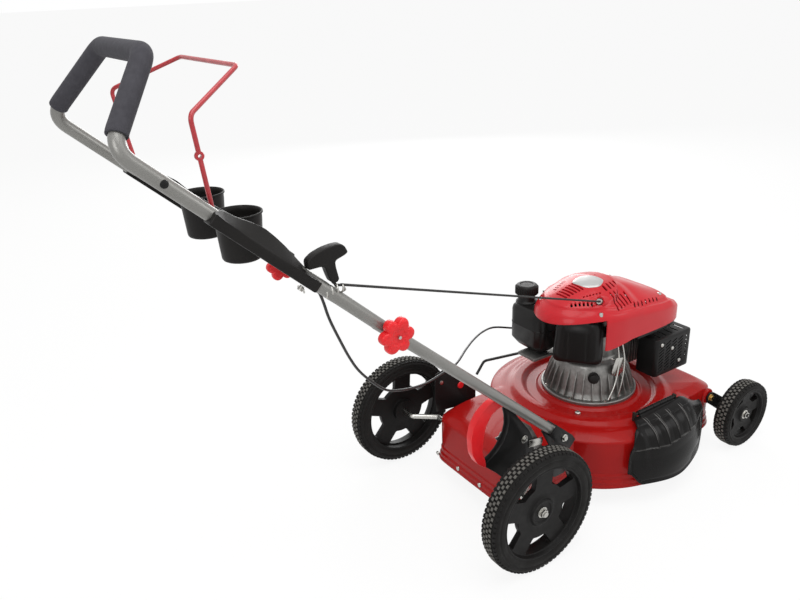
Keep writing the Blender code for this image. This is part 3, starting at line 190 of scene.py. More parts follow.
finishes = {
    # sprayed enamel on pressed steel: deep gloss with a slight orange peel
    "glossEnamel": {"colour": "#9E1210", "shade": "#88100F", "mottleMm": 90, "grainMm": 3.2,
                    "grainDepthMm": 0.010, "roughness": (0.20, 0.30), "specular": 0.10, "coat": (0.12, 0.05)},
    # injection-moulded red ABS: an even semi-gloss with faint flow marks
    "mouldedRedAbs": {"colour": "#BE1A25", "shade": "#AC151E", "mottleMm": 60, "grainMm": 0.9,
                      "grainDepthMm": 0.006, "roughness": (0.28, 0.38), "specular": 0.20, "coat": (0.20, 0.08)},
    # moulded red nylon of the knobs and the lever's grip: brighter than the housing, softly shiny
    "mouldedRedNylon": {"colour": "#DE1E24", "shade": "#C4161C", "mottleMm": 18, "grainMm": 0.7,
                        "grainDepthMm": 0.01, "roughness": (0.30, 0.44), "specular": 0.35},
    # red powder coat on the thin bail rod: small soft peel
    "redPowderCoat": {"colour": "#B0242C", "shade": "#921B22", "mottleMm": 25, "grainMm": 1.4,
                      "grainDepthMm": 0.02, "roughness": (0.30, 0.42), "coat": (0.2, 0.15)},
    # moulded black polypropylene with a spark-eroded grain, drawn at 1.2 mm so that it shows
    "mouldedPolypropylene": {"colour": "#1B1918", "shade": "#141312", "mottleMm": 40, "grainMm": 1.2,
                             "grainDepthMm": 0.03, "roughness": (0.38, 0.54), "specular": 0.16},
    # the cover's smoother polypropylene, whose raised lines catch the light; the pale grey mixed in is a painted
    # highlight on those lines
    "glossPolypropylene": {"colour": "#131211", "shade": "#0D0C0C", "mottleMm": 40, "grainMm": 1.2,
                           "grainDepthMm": 0.01, "roughness": (0.20, 0.30), "specular": 0.10, "coat": (0.04, 0.10),
                           "paintedHighlight": "#7C7A78"},
    # blow-moulded polyethylene tank and filter cover: smoother, softly shiny
    "blowMouldedPolyethylene": {"colour": "#1A1918", "shade": "#131212", "mottleMm": 30, "grainMm": 1.6,
                                "grainDepthMm": 0.015, "roughness": (0.28, 0.40), "specular": 0.20},
    # glass-filled nylon rims: grey-black and a little streaky
    "glassFilledNylon": {"colour": "#181716", "shade": "#100F0F", "mottleMm": 14, "grainMm": 1.0,
                         "grainDepthMm": 0.02, "roughness": (0.36, 0.50), "specular": 0.12},
    # foamed tyre compound: matt, with fine pores; the paler grey mixed in is a painted highlight on the tread tops
    "foamedTyre": {"colour": "#1D1C1B", "shade": "#141312", "mottleMm": 22, "grainMm": 1.1,
                   "grainDepthMm": 0.06, "roughness": (0.50, 0.70), "specular": 0.12,
                   "paintedHighlight": "#5E5C58"},
    # closed-cell foam sleeve: its 0.5 mm cells are drawn at 1.5 mm
    "evaFoam": {"colour": "#3A393F", "shade": "#2E2D32", "mottleMm": 12, "grainMm": 1.5,
                "grainDepthMm": 0.12, "roughness": (0.86, 0.98), "cells": True},
    # silver-grey powder coat with metal flake on the tubes
    "silverPowderCoat": {"colour": "#83827F", "shade": "#767571", "mottleMm": 35, "grainMm": 1.0,
                         "grainDepthMm": 0.012, "roughness": (0.30, 0.42), "metallic": 0.55, "coat": (0.15, 0.15)},
    # black powder coat on steel plates: a soft, even sheen
    "blackPowderCoat": {"colour": "#171616", "shade": "#101010", "mottleMm": 20, "grainMm": 1.3,
                        "grainDepthMm": 0.02, "roughness": (0.34, 0.48), "specular": 0.16, "coat": (0.06, 0.2)},
    # zinc plate on fasteners and wire: bright, with sharp highlights
    "zincPlatedSteel": {"colour": "#C4C3BF", "shade": "#A5A39D", "mottleMm": 6, "grainMm": 0.8,
                        "grainDepthMm": 0.008, "roughness": (0.20, 0.34), "metallic": 1.0},
    # pressed steel browned by exhaust heat: dull and blotched
    "heatDarkenedSteel": {"colour": "#4A4641", "shade": "#2E2A27", "mottleMm": 12, "grainMm": 1.2,
                          "grainDepthMm": 0.02, "roughness": (0.42, 0.62), "metallic": 0.85},
    # pressure-cast aluminium: pale grey with a fine sandy skin
    "castAluminium": {"colour": "#979693", "shade": "#676664", "mottleMm": 9, "grainMm": 1.1,
                      "grainDepthMm": 0.05, "roughness": (0.36, 0.54), "metallic": 0.9},
    # yellow-passivated zinc on the axle bolts: a brassy tint
    "yellowZinc": {"colour": "#BFA062", "shade": "#9C7F4B", "mottleMm": 5, "grainMm": 0.8,
                   "grainDepthMm": 0.008, "roughness": (0.26, 0.40), "metallic": 1.0},
    # extruded PVC sleeve on the brake cable: smooth, with one long highlight
    "pvcSleeve": {"colour": "#181818", "shade": "#111111", "mottleMm": 15, "grainMm": 1.0,
                  "grainDepthMm": 0.005, "roughness": (0.34, 0.46)},
    # braided nylon starter rope: matt, with its 1.6 mm plait showing
    "braidedNylon": {"colour": "#262524", "shade": "#171616", "mottleMm": 4, "grainMm": 1.6,
                     "grainDepthMm": 0.15, "roughness": (0.66, 0.82)},
    # satin grey plate on the starter: an even, faintly metallic sheen
    "satinGreyPlate": {"colour": "#B4B4B3", "shade": "#A2A2A1", "mottleMm": 20, "grainMm": 0.9,
                       "grainDepthMm": 0.006, "roughness": (0.30, 0.42), "metallic": 0.35, "coat": (0.1, 0.2)},
}


def makeFinish(name, f):
    made = bpy.data.materials.new(name)
    made.use_nodes = True
    tree = made.node_tree
    tree.nodes.clear()
    shader = addNode(tree, "ShaderNodeBsdfPrincipled")
    addNode(tree, "ShaderNodeOutputMaterial", {"Surface": shader.outputs[0]})
    where = addNode(tree, "ShaderNodeTexCoord").outputs["Object"]
    sizes = {"Vector": where, "Scale": 1000 / f["mottleMm"], "Detail": 5.0, "Roughness": 0.6}
    mottle = addNode(tree, "ShaderNodeTexNoise", sizes)
    colours = {0: mottle.outputs[0], 6: linear(f["colour"]), 7: linear(f["shade"])}
    colour = addNode(tree, "ShaderNodeMix", colours, data_type="RGBA")
    if f.get("paintedHighlight"):
        # the points' share of painted highlight: a paler colour painted on the cover's raised lines and on the tread
        # tops
        share = addNode(tree, "ShaderNodeAttribute", attribute_name="paintedHighlight").outputs["Fac"]
        mixed = {0: share, 6: colour.outputs[2], 7: linear(f["paintedHighlight"])}
        colour = addNode(tree, "ShaderNodeMix", mixed, data_type="RGBA")
    tree.links.new(colour.outputs[2], shader.inputs["Base Color"])
    low, high = f["roughness"]
    spread = addNode(tree, "ShaderNodeMapRange", {0: mottle.outputs[0], 1: 0.3, 2: 0.7, 3: low, 4: high})
    tree.links.new(spread.outputs[0], shader.inputs["Roughness"])
    if f.get("cells"):
        grain = addNode(tree, "ShaderNodeTexVoronoi", {"Vector": where, "Scale": 1000 / f["grainMm"]})
    else:
        grain = addNode(tree, "ShaderNodeTexNoise", {"Vector": where, "Scale": 1000 / f["grainMm"], "Detail": 3.0})
    depth = f["grainDepthMm"] / 1000
    bump = addNode(tree, "ShaderNodeBump", {"Height": grain.outputs[0], "Strength": 1.0, "Distance": depth})
    tree.links.new(bump.outputs[0], shader.inputs["Normal"])
    shader.inputs["Metallic"].default_value = f.get("metallic", 0.0)
    shader.inputs["Specular IOR Level"].default_value = f.get("specular", 0.5)
    weight, coatRoughness = f.get("coat", (0.0, 0.1))
    shader.inputs["Coat Weight"].default_value = weight
    shader.inputs["Coat Roughness"].default_value = coatRoughness
    return made


surface = {name: makeFinish(name, f) for name, f in finishes.items()}
print("materials ready:", len(surface))


def shapeFrom(name, points, faces, shift=None):
    shift = rearAxleX if shift is None else shift
    mesh = bpy.data.meshes.new(name)
    mesh.from_pydata([(p[0] + shift, p[1], p[2]) for p in points], [], faces)
    work = bmesh.new()
    work.from_mesh(mesh)
    bmesh.ops.remove_doubles(work, verts=work.verts, dist=2e-6)
    bmesh.ops.recalc_face_normals(work, faces=work.faces)
    work.to_mesh(mesh)
    work.free()
    return linked(name, mesh)


def settle(obj, smoothDeg=35):
    graph = bpy.context.evaluated_depsgraph_get()
    mesh = bpy.data.meshes.new_from_object(obj.evaluated_get(graph))
    obj.modifiers.clear()
    obj.data = mesh
    mesh.polygons.foreach_set("use_smooth", [True] * len(mesh.polygons))
    mesh.set_sharp_from_angle(angle=math.radians(smoothDeg))
    return obj


def bevelled(obj, width, segments=2, smoothDeg=35):
    step = obj.modifiers.new("edges", "BEVEL")
    step.width = width
    step.segments = segments
    step.limit_method = "ANGLE"
    step.angle_limit = math.radians(32)
    return settle(obj, smoothDeg)


def carve(obj, cutter, operation="DIFFERENCE", smoothDeg=35):
    step = obj.modifiers.new("carving", "BOOLEAN")
    step.operation = operation
    step.solver = "EXACT"
    step.object = cutter
    settle(obj, smoothDeg)
    bpy.data.objects.remove(cutter)
    return obj


def paintHighlight(obj, share):
    # share(point) is how much of the finish's painted highlight colour shows there
    layer = obj.data.attributes.new("paintedHighlight", "FLOAT", "POINT")
    layer.data.foreach_set("value", [min(max(share(v.co), 0), 1) for v in obj.data.vertices])


def gathered(name, parts):
    work = bmesh.new()
    for part in parts:
        work.from_mesh(part.data)
        bpy.data.objects.remove(part)
    mesh = bpy.data.meshes.new(name)
    work.to_mesh(mesh)
    work.free()
    return linked(name, mesh)


def dressed(obj, finish, smoothDeg):
    mesh = obj.data
    mesh.materials.clear()
    mesh.materials.append(surface[finish])
    mesh.polygons.foreach_set("material_index", [0] * len(mesh.polygons))
    mesh.polygons.foreach_set("use_smooth", [True] * len(mesh.polygons))
    mesh.set_sharp_from_angle(angle=math.radians(smoothDeg))


def fit(obj, finish, body, slotName, *nodes, smoothDeg=35):
    dressed(obj, finish, smoothDeg)
    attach(obj, body)
    if nodes:
        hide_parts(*nodes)
    return obj


def bent(start, corner, end, t):
    return start * (1 - t) ** 2 + corner * 2 * t * (1 - t) + end * t * t


def middleOf(points):
    return sum((Vector(p) for p in points), Vector((0, 0))) / len(points)


def solidRod(radius, low, high):
    # the profile of a plain cylinder
    return [(0, low), (radius, low), (radius, high), (0, high)]


def ramp(low, high, value):
    t = min(max((value - low) / (high - low), 0), 1)
    return t * t * (3 - 2 * t)


def between(rows, x):
    if x <= rows[0][0]:
        return rows[0][1]
    for (x0, v0), (x1, v1) in zip(rows, rows[1:]):
        if x <= x1:
            return v0 + (v1 - v0) * (x - x0) / (x1 - x0)
    return rows[-1][1]


def softBetween(rows, x):
    low = max((row for row in rows if row[0] <= x), default=rows[0])
    high = min((row for row in rows if row[0] > x), default=rows[-1])
    if low == high:
        return low[1]
    return low[1] + (high[1] - low[1]) * ramp(low[0], high[0], x)


def arcs(corners, steps=4, closed=False):
    # corners hold (a, b, radius); each becomes an arc of that radius, and a radius of 0 stays a point
    count = len(corners)
    made = []
    for i, (a, b, radius) in enumerate(corners):
        p = Vector((a, b))
        if radius == 0 or (not closed and i in (0, count - 1)):
            made.append(p)
            continue
        before, after = Vector(corners[i - 1][:2]), Vector(corners[(i + 1) % count][:2])
        reach = min(radius, (before - p).length * 0.45, (after - p).length * 0.45)
        start = p + (before - p).normalized() * reach
        end = p + (after - p).normalized() * reach
        made += [bent(start, p, end, k / steps) for k in range(steps + 1)]
    return made


def roundedOutline(outline, radius, steps=4):
    return arcs([(a, b, radius) for a, b in outline], steps, closed=True)


def skin(name, rows, loop=False, caps=True, shift=None):
    # faces between closed rows of points; a row of one point is a pole
    points = []
    numbered = []
    for row in rows:
        numbered.append(list(range(len(points), len(points) + len(row))))
        points += row
    faces = []
    pairs = list(zip(numbered, numbered[1:]))
    if loop:
        pairs.append((numbered[-1], numbered[0]))
    for low, high in pairs:
        count = max(len(low), len(high))
        for i in range(count):
            j = (i + 1) % count
            if len(low) == 1:
                faces.append((low[0], high[i], high[j]))
            elif len(high) == 1:
                faces.append((low[i], low[j], high[0]))
            else:
                faces.append((low[i], low[j], high[j], high[i]))
    if caps and not loop:
        for row in (numbered[0], numbered[-1]):
            if len(row) > 2:
                faces.append(tuple(row))
    return shapeFrom(name, points, faces, shift)


def placeOn(centre, axis):
    turn = Vector((0, 0, 1)).rotation_difference(Vector(axis)).to_matrix().to_4x4()
    return Matrix.Translation(centre) @ turn


def turned(name, profile, count, centre=(0, 0, 0), axis=(0, 0, 1), loop=False, lobes=None, shift=None):
    # profile holds (radius, distance along the axis); lobes gives each angle's share of the radius
    place = placeOn(centre, axis)
    rows = []
    for radius, along in profile:
        if radius < 1e-7:
            rows.append([place @ Vector((0, 0, along))])
            continue
        row = []
        for i in range(count):
            angle = 2 * math.pi * i / count
            reach = radius * (lobes(angle, radius) if lobes else 1)
            row.append(place @ Vector((reach * math.cos(angle), reach * math.sin(angle), along)))
        rows.append(row)
    return skin(name, rows, loop=loop, caps=not loop, shift=shift)


def hexagon(angle, radius):
    part = (angle + math.pi / 6) % (math.pi / 3) - math.pi / 6
    return math.cos(math.pi / 6) / math.cos(part)


def pushed(name, outline, low, high, plane, edge=0.0, segments=2):
    def place(a, b, c):
        return {"xz": (a, c, b), "yz": (c, a, b), "xy": (a, b, c)}[plane]

    rows = [[place(a, b, level) for a, b in outline] for level in (low, high)]
    made = skin(name, rows)
    return bevelled(made, edge, segments) if edge else settle(made)


def bentPath(corners, radii, steps=8):
    made = [Vector(corners[0])]
    for i in range(1, len(corners) - 1):
        p, a, b = Vector(corners[i]), Vector(corners[i - 1]), Vector(corners[i + 1])
        into, out = (p - a).normalized(), (b - p).normalized()
        reach = radii[i - 1] * math.tan(into.angle(out) / 2)
        reach = min(reach, (p - a).length * 0.49, (b - p).length * 0.49)
        start, end = p - into * reach, p + out * reach
        made += [bent(start, p, end, k / steps) for k in range(steps + 1)]
    made.append(Vector(corners[-1]))
    return made


def easyRoute(route, steps=4):
    made = []
    count = len(route)
    for i in range(count - 1):
        a, d = Vector(route[max(i - 1, 0)]), Vector(route[min(i + 2, count - 1)])
        b, c = Vector(route[i]), Vector(route[i + 1])
        for k in range(steps):
            t = k / steps
            spot = b * 2 + (c - a) * t + (a * 2 - b * 5 + c * 4 - d) * t ** 2
            made.append((spot + (b * 3 - a - c * 3 + d) * t ** 3) / 2)
    made.append(Vector(route[-1]))
    return made


def newTree(name, **sizes):
    tree = bpy.data.node_groups.new(name, "GeometryNodeTree")
    tree.interface.new_socket("Geometry", in_out="INPUT", socket_type="NodeSocketGeometry")
    for label, kind in sizes.items():
        tree.interface.new_socket(label, in_out="INPUT", socket_type="NodeSocket" + kind)
    tree.interface.new_socket("Geometry", in_out="OUTPUT", socket_type="NodeSocketGeometry")
    return tree, addNode(tree, "NodeGroupInput").outputs


def endTree(tree, geometry, finish):
    real = addNode(tree, "GeometryNodeRealizeInstances", {"Geometry": geometry})
    painted = addNode(tree, "GeometryNodeSetMaterial", {"Geometry": real.outputs[0], "Material": finish})
    addNode(tree, "NodeGroupOutput", {"Geometry": painted.outputs[0]})
    return tree


# steps of sums: a step's name, its operation and its values, which are numbers or the names of what is known by then
countSteps = (
    ("inside", "ADD", "index", 0.5), ("rows", "DIVIDE", "inside", "Columns"), ("row", "FLOOR", "rows"),
    ("passed", "MULTIPLY", "row", "Columns"), ("column", "SUBTRACT", "index", "passed"),
    ("total", "MULTIPLY", "Columns", "Rows"),
)
# round the axis, in rows along it; the outer rows lie nearer to the axis
roundSteps = (
    ("share", "DIVIDE", "column", "Columns"), ("swing", "MULTIPLY", "share", 2 * math.pi),
    ("skew", "MULTIPLY", "row", "Row Turn"), ("angle", "ADD", "swing", "skew"),
    ("last", "SUBTRACT", "Rows", 1.0), ("middle", "DIVIDE", "last", 2.0), ("offset", "SUBTRACT", "row", "middle"),
    ("far", "ABSOLUTE", "offset"), ("farthest", "MAXIMUM", "middle", 0.5), ("part", "DIVIDE", "far", "farthest"),
    ("bow", "POWER", "part", 5.0), ("drop", "MULTIPLY", "bow", "Edge Drop"), ("reach", "SUBTRACT", "Radius", "drop"),
    ("cosine", "COSINE", "angle"), ("x", "MULTIPLY", "reach", "cosine"), ("sine", "SINE", "angle"),
    ("y", "MULTIPLY", "reach", "sine"), ("z", "MULTIPLY", "offset", "Row Gap"),
)
# in a flat grid, with every second row shifted
gridSteps = (
    ("odd", "MODULO", "row", 2.0), ("start", "MULTIPLY", "odd", "Row Shift"),
    ("run", "MULTIPLY", "column", "Column Gap"), ("x", "ADD", "run", "start"),
    ("y", "MULTIPLY", "row", "Row Gap"), ("z", "MULTIPLY", "row", 0.0),
)


def countTree(name, steps, turn, **sizes):
    # copies of Shape, one for each number from 0, where the steps put that number
    tree, given = newTree(name, Shape="Object", Columns="Int", Rows="Int", **sizes, Finish="Material")
    known = {label: given[label] for label in ("Columns", "Rows", *sizes)}
    known["index"] = addNode(tree, "GeometryNodeInputIndex").outputs[0]
    for label, operation, *values in (*countSteps, *steps):
        inputs = {i: known[value] if isinstance(value, str) else value for i, value in enumerate(values)}
        known[label] = addNode(tree, "ShaderNodeMath", inputs, operation=operation).outputs[0]
    place = addNode(tree, "ShaderNodeCombineXYZ", {0: known["x"], 1: known["y"], 2: known["z"]})
    angles = addNode(tree, "ShaderNodeCombineXYZ", {2: known[turn]})
    spots = addNode(tree, "GeometryNodePoints", {"Count": known["total"], "Position": place.outputs[0]})
    shape = addNode(tree, "GeometryNodeObjectInfo", {"Object": given["Shape"]})
    sockets = {"Points": spots.outputs[0], "Instance": shape.outputs["Geometry"], "Rotation": angles.outputs[0]}
    copies = addNode(tree, "GeometryNodeInstanceOnPoints", sockets)
    both = addNode(tree, "GeometryNodeJoinGeometry", {"Geometry": copies.outputs[0]})
    tree.links.new(given["Geometry"], both.inputs["Geometry"])
    return endTree(tree, both.outputs[0], given["Finish"])


def pathTree():
    tree, given = newTree("barAlongPath", Radius="Float", Sides="Int", Finish="Material")
    line = addNode(tree, "GeometryNodeMeshToCurve", {0: given["Geometry"]})
    ring = addNode(tree, "GeometryNodeCurvePrimitiveCircle", {"Resolution": given["Sides"], "Radius": given["Radius"]})
    sockets = {"Curve": line.outputs[0], "Profile Curve": ring.outputs[0], "Fill Caps": True}
    swept = addNode(tree, "GeometryNodeCurveToMesh", sockets)
    return endTree(tree, swept.outputs[0], given["Finish"])


roundTree = countTree("copiesRoundAxis", roundSteps, "angle", **{
    "Radius": "Float", "Row Gap": "Float", "Row Turn": "Float", "Edge Drop": "Float"})
gridTree = countTree("copiesInRows", gridSteps, "Turn", **{
    "Column Gap": "Float", "Row Gap": "Float", "Row Shift": "Float", "Turn": "Float"})
barTree = pathTree()


def grown(obj, tree, values):
    step = obj.modifiers.new(tree.name, "NODES")
    step.node_group = tree
    for item in tree.interface.items_tree:
        if item.in_out == "INPUT" and item.name in values:
            step[item.identifier] = values[item.name]
    return settle(obj, 45)


def repeated(name, tree, shape, finish, place, base=None, **values):
    # the copies are made about the origin, then placed; base is a mesh that they stand on
    obj = base or shapeFrom(name, [], [], 0)
    obj.name = name
    grown(obj, tree, {"Shape": shape, "Finish": surface[finish], **values})
    bpy.data.objects.remove(shape)
    obj.data.transform(Matrix.Translation((rearAxleX, 0, 0)) @ place)
    return obj


def atOrigin(obj):
    # takes out the step to the rear axle, for a shape that repeated() copies
    obj.data.transform(Matrix.Translation((-rearAxleX, 0, 0)))


def bar(name, path, radius, sides, finish):
    mesh = bpy.data.meshes.new(name)
    edges = [(i, i + 1) for i in range(len(path) - 1)]
    mesh.from_pydata([(p[0] + rearAxleX, p[1], p[2]) for p in path], edges, [])
    return grown(linked(name, mesh), barTree, {"Radius": radius, "Sides": sides, "Finish": surface[finish]})


def pipe(name, path, radius, bore, sides=24):
    path = [Vector(p) for p in path]
    across = None
    outer, inner = [], []
    for i, p in enumerate(path):
        ahead = (path[min(i + 1, len(path) - 1)] - path[max(i - 1, 0)]).normalized()
        if across is None:
            across = ahead.orthogonal()
        across = (across - ahead * across.dot(ahead)).normalized()
        other = ahead.cross(across)
        for size, rows in ((radius, outer), (bore, inner)):
            turns = [2 * math.pi * k / sides for k in range(sides)]
            rows.append([p + (across * math.cos(a) + other * math.sin(a)) * size for a in turns])
    return skin(name, outer + inner[::-1], loop=True)


deck = {
    "engineX": 0.410,
    "circleR": 0.250,
    "rear": (0.380, 0.148, 12),  # reach behind the engine, half width, squareness
    "front": (0.292, 0.180, 9),
    "topRows": ((0.030, 0.172), (0.200, 0.180), (0.640, 0.180), (0.702, 0.168)),
    "floorZ": 0.048,
    "wall": 0.0022,
    "columns": 320,
    "window": (0.320, 0.064, 0.545, 0.150),
    "bossAt": (0.660, 0.142),
    "boss": ((0, 0.0034), (0.0085, 0.0034), (0.016, 0.0034), (0.0185, 0.0026), (0.0205, 0.0), (0.0205, -0.004),
             (0, -0.004)),
    "rearScrews": ((0.0240, 0.129, 0.0605), 4, 0.082),  # the first one, how many, and how far apart
    "screwHead": ((0, 0.0034), (0.003, 0.0032), (0.0052, 0.0022), (0.0058, 0.0008), (0.0058, -0.0010), (0, -0.0010)),
}


def boxReach(angle, forward, halfWidth, power):
    across, along = abs(math.sin(angle)) / halfWidth, abs(math.cos(angle)) / forward
    return (across ** power + along ** power) ** (-1 / power)


def deckReach(angle):
    box = deck["rear"] if math.cos(angle) < 0 else deck["front"]
    return max(deck["circleR"], boxReach(angle, *box))


def evenAngles(reach, count, fine=2880):
    angles = [2 * math.pi * i / fine for i in range(fine + 1)]
    spots = [Vector((reach(a) * math.cos(a), reach(a) * math.sin(a))) for a in angles]
    lengths = [0.0]
    for a, b in zip(spots, spots[1:]):
        lengths.append(lengths[-1] + (b - a).length)
    made, k = [], 0
    for i in range(count):
        while lengths[k + 1] < lengths[-1] * i / count:
            k += 1
        made.append(angles[k])
    return made


def makeDeck(d):
    def profile(angle):
        edge = deckReach(angle)
        floor = d["floorZ"]

        def top(radius):
            return between(d["topRows"], d["engineX"] + radius * math.cos(angle))

        outside = [
            (0.100, 0.1862, 0), (0.1245, 0.1862, 0.003), (0.1325, 0.1790, 0.003), (0.1575, 0.1790, 0.003),
            (0.1665, 0.1890, 0.004), (0.1870, 0.1890, 0.004), (0.2040, top(0.204) + 0.0003, 0.006),
            (edge - 0.030, top(edge - 0.030), 0.008), (edge - 0.0006, top(edge) - 0.0125, 0.006),
            (edge, 0.0830, 0.002), (edge + 0.0024, 0.0795, 0.001), (edge + 0.0024, 0.0690, 0.001),
            (edge + 0.0056, 0.0640, 0.002), (edge + 0.0060, 0.0560, 0.001), (edge + 0.0080, 0.0530, 0.001),
            (edge + 0.0080, floor, 0),
        ]
        wall = d["wall"]
        inside = [
            (edge + 0.0050, floor, 0), (edge - wall, 0.0600, 0.002), (edge - wall, top(edge) - 0.0155, 0.006),
            (edge - 0.031, top(edge - 0.030) - wall, 0.006), (0.2020, top(0.204) - wall, 0.004),
            (0.1900, 0.1765, 0.002), (0.100, 0.1765, 0),
        ]
        return arcs(outside, 4) + arcs(inside, 3)

    columns = []
    for angle in evenAngles(deckReach, d["columns"]):
        x, y = math.cos(angle), math.sin(angle)
        columns.append([(d["engineX"] + p.x * x, p.x * y, p.y) for p in profile(angle)])
    made = skin("deckShell", [list(row) for row in zip(*columns)], loop=True)
    window = roundedOutline(rectangle(*d["window"]), 0.015, 5)
    carve(made, pushed("deckWindow", window, -0.300, -0.205, "xz"))
    fit(made, "glossEnamel", "mower", "deck_red", "deck_shell", smoothDeg=40)


def makeDeckTrim(d):
    x, z = d["bossAt"]
    for side, sign in leftRight:
        made = turned(f"frontBoss{side.title()}", d["boss"], 40, (x, sign * d["front"][1], z), (0, sign, 0))
        fit(made, "glossEnamel", "mower", "deck_red")
    (x, y, z), count, gap = d["rearScrews"]
    heads = [turned("head", d["screwHead"], 18, (x, y - gap * k, z), (-1, 0, 0)) for k in range(count)]
    fit(gathered("rearFlangeScrews", heads), "zincPlatedSteel", "mower", "plated_steel")


makeDeck(deck)
makeDeckTrim(deck)
print("deck made")


wheels = {
    "rear": {"x": 0.0, "track": 0.510, "diameter": 0.280, "width": 0.045, "axleR": 0.0060},
    "front": {"x": 0.738, "track": 0.460, "diameter": 0.178, "width": 0.042, "axleR": 0.0050},
}
wheelForm = {
    "columns": 144,
    "rimShare": 0.76,
    "hubShare": 0.20,
    "spokes": 5,
    "spokeShare": 0.33,
    "windowFrom": 0.45,
    "windowTurnDeg": 32,
    "treadPitch": 0.0122,
    "treadRows": 5,
    "treadRowGap": 0.0082,
    "treadBlock": (0.0042, 0.0034, 0.0030),  # half length round the tyre, half width, height
}


def makeTreadBlock(length, width, height):
    rows = []
    for share, level in ((1.0, -0.0012), (1.0, height * 0.35), (0.72, height)):
        rows.append([(level, a * length * share, b * width * share) for a, b in rectangle(-1, -1, 1, 1)])
    return skin("treadBlock", rows, shift=0)


def makeTyre(label, side, w, f, place):
    radius, half = w["diameter"] / 2, w["width"] / 2
    rim = radius * f["rimShare"] + 0.0003
    height = f["treadBlock"][2]
    crown = radius - height
    profile = [
        (rim, -half + 0.0025, 0), (rim + 0.006, -half, 0.002), (radius * 0.855, -half, 0.001),
        (radius * 0.865, -half + 0.0012, 0.001), (radius * 0.885, -half + 0.0012, 0.001),
        (radius * 0.895, -half, 0.001), (radius * 0.930, -half, 0.003), (crown, -half * 0.70, 0.004),
        (crown, half * 0.70, 0.004), (radius * 0.930, half, 0.003), (radius * 0.895, half, 0.001),
        (radius * 0.885, half - 0.0012, 0.001), (radius * 0.865, half - 0.0012, 0.001),
        (radius * 0.855, half, 0.001), (rim + 0.006, half, 0.002), (rim, half - 0.0025, 0),
    ]
    body = turned("carcass", arcs(profile, 3), f["columns"], loop=True, shift=0)
    count = round(2 * math.pi * radius / f["treadPitch"])
    block = makeTreadBlock(*f["treadBlock"])
    values = {"Columns": count, "Rows": f["treadRows"], "Radius": crown, "Row Gap": f["treadRowGap"]}
    values |= {"Row Turn": math.pi / count, "Edge Drop": 0.0026}
    made = repeated(f"tyreTread_{label}_{side}", roundTree, block, "foamedTyre", place, body, **values)
    fit(made, "foamedTyre", f"{label}_wheel_{side}", "tyre_black", f"tyre_{label}_{side}", smoothDeg=40)
    low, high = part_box(f"tyre_{label}_{side}")
    axle = ((low[0] + high[0]) / 2, (low[2] + high[2]) / 2)
    # paints a paler highlight on the outermost tread tops
    paintHighlight(made, lambda p: (math.hypot(p.x - axle[0], p.z - axle[1]) - radius + 0.0008) / 0.0006)


def rimWindow(f, k, turn, inner, outer, spoke, levels, place):
    # the cutter of one opening between two spokes
    middle = math.radians(90 + f["windowTurnDeg"] + 360 / f["spokes"] * k) * turn
    outline = []
    for reach, steps, way in ((inner, 4, -1), (outer, 8, 1)):
        spread = math.pi / f["spokes"] - math.asin(spoke / 2 / reach)
        for step in range(steps + 1):
            angle = middle + spread * (2 * step / steps - 1) * way
            outline.append((reach * math.cos(angle), reach * math.sin(angle)))
    smooth = roundedOutline(outline, 0.006, 3)
    centre = middleOf(smooth)
    rows = []
    for level, growth in levels:
        ring = [centre + (Vector(p) - centre) * growth for p in smooth]
        rows.append([place @ Vector((p.x, p.y, level)) for p in ring])
    return skin("window", rows)


def makeRim(label, side, w, f, centre, axis):
    radius, half = w["diameter"] / 2, w["width"] / 2
    rim = radius * f["rimShare"]
    bead, hub, lip = rim - 0.005, radius * f["hubShare"], half - 0.0025
    back, front = -0.004, 0.010
    bore = w["axleR"] + 0.0006
    profile = [
        (bore, -0.017, 0), (hub, -0.017, 0.001), (hub, back, 0.002), (bead, back, 0.002), (bead + 0.001, -lip, 0.001),
        (rim, -lip, 0.0005), (rim, lip, 0.0005), (bead + 0.0015, lip, 0.001), (bead, front + 0.006, 0.002),
        (bead - 0.002, front, 0.002), (bead - 0.009, front - 0.0005, 0.001), (hub + 0.012, front - 0.003, 0.002),
        (hub + 0.004, front - 0.002, 0.002), (hub + 0.001, 0.0130, 0.001), (hub - 0.004, 0.0130, 0.001),
        (hub - 0.0055, 0.0108, 0.001), (bore, 0.0108, 0),
    ]
    made = turned(f"rimSpokes_{label}_{side}", arcs(profile, 3), f["columns"], centre, axis, loop=True)
    levels = ((-0.020, 1.0), (front - 0.0035, 1.0), (front + 0.004, 1.085))
    sizes = (radius * f["windowFrom"], bead - 0.0034, radius * f["spokeShare"], levels, placeOn(centre, axis))
    turn = 1 if axis[1] < 0 else -1
    windows = [rimWindow(f, k, turn, *sizes) for k in range(f["spokes"])]
    carve(made, gathered("windows", windows), smoothDeg=30)
    fit(made, "glassFilledNylon", f"{label}_wheel_{side}", "black_plastic", f"rim_{label}_{side}", smoothDeg=30)


def makeHubNut(label, side, w, centre, axis):
    rod = w["axleR"]
    washer = [(rod, 0.0110), (0.0122, 0.0110), (0.0122, 0.0126), (0.0116, 0.0130), (rod, 0.0130)]
    flat = [(rod - 0.001, 0.0130), (0.0092, 0.0130), (0.0092, 0.0190), (0.0082, 0.0200), (rod - 0.001, 0.0200)]
    tip = [(0, 0.0120), (rod - 0.0004, 0.0120), (rod - 0.0004, 0.0212), (rod * 0.7, 0.0224), (0, 0.0226)]
    parts = [
        turned("washer", washer, 40, centre, axis, loop=True),
        turned("nut", flat, 48, centre, axis, loop=True, lobes=hexagon),
        turned("axleTip", tip, 28, centre, axis),
    ]
    made = gathered(f"hubNutSet_{label}_{side}", parts)
    fit(made, "zincPlatedSteel", f"{label}_wheel_{side}", "plated_steel", f"hub_nut_{label}_{side}", smoothDeg=30)


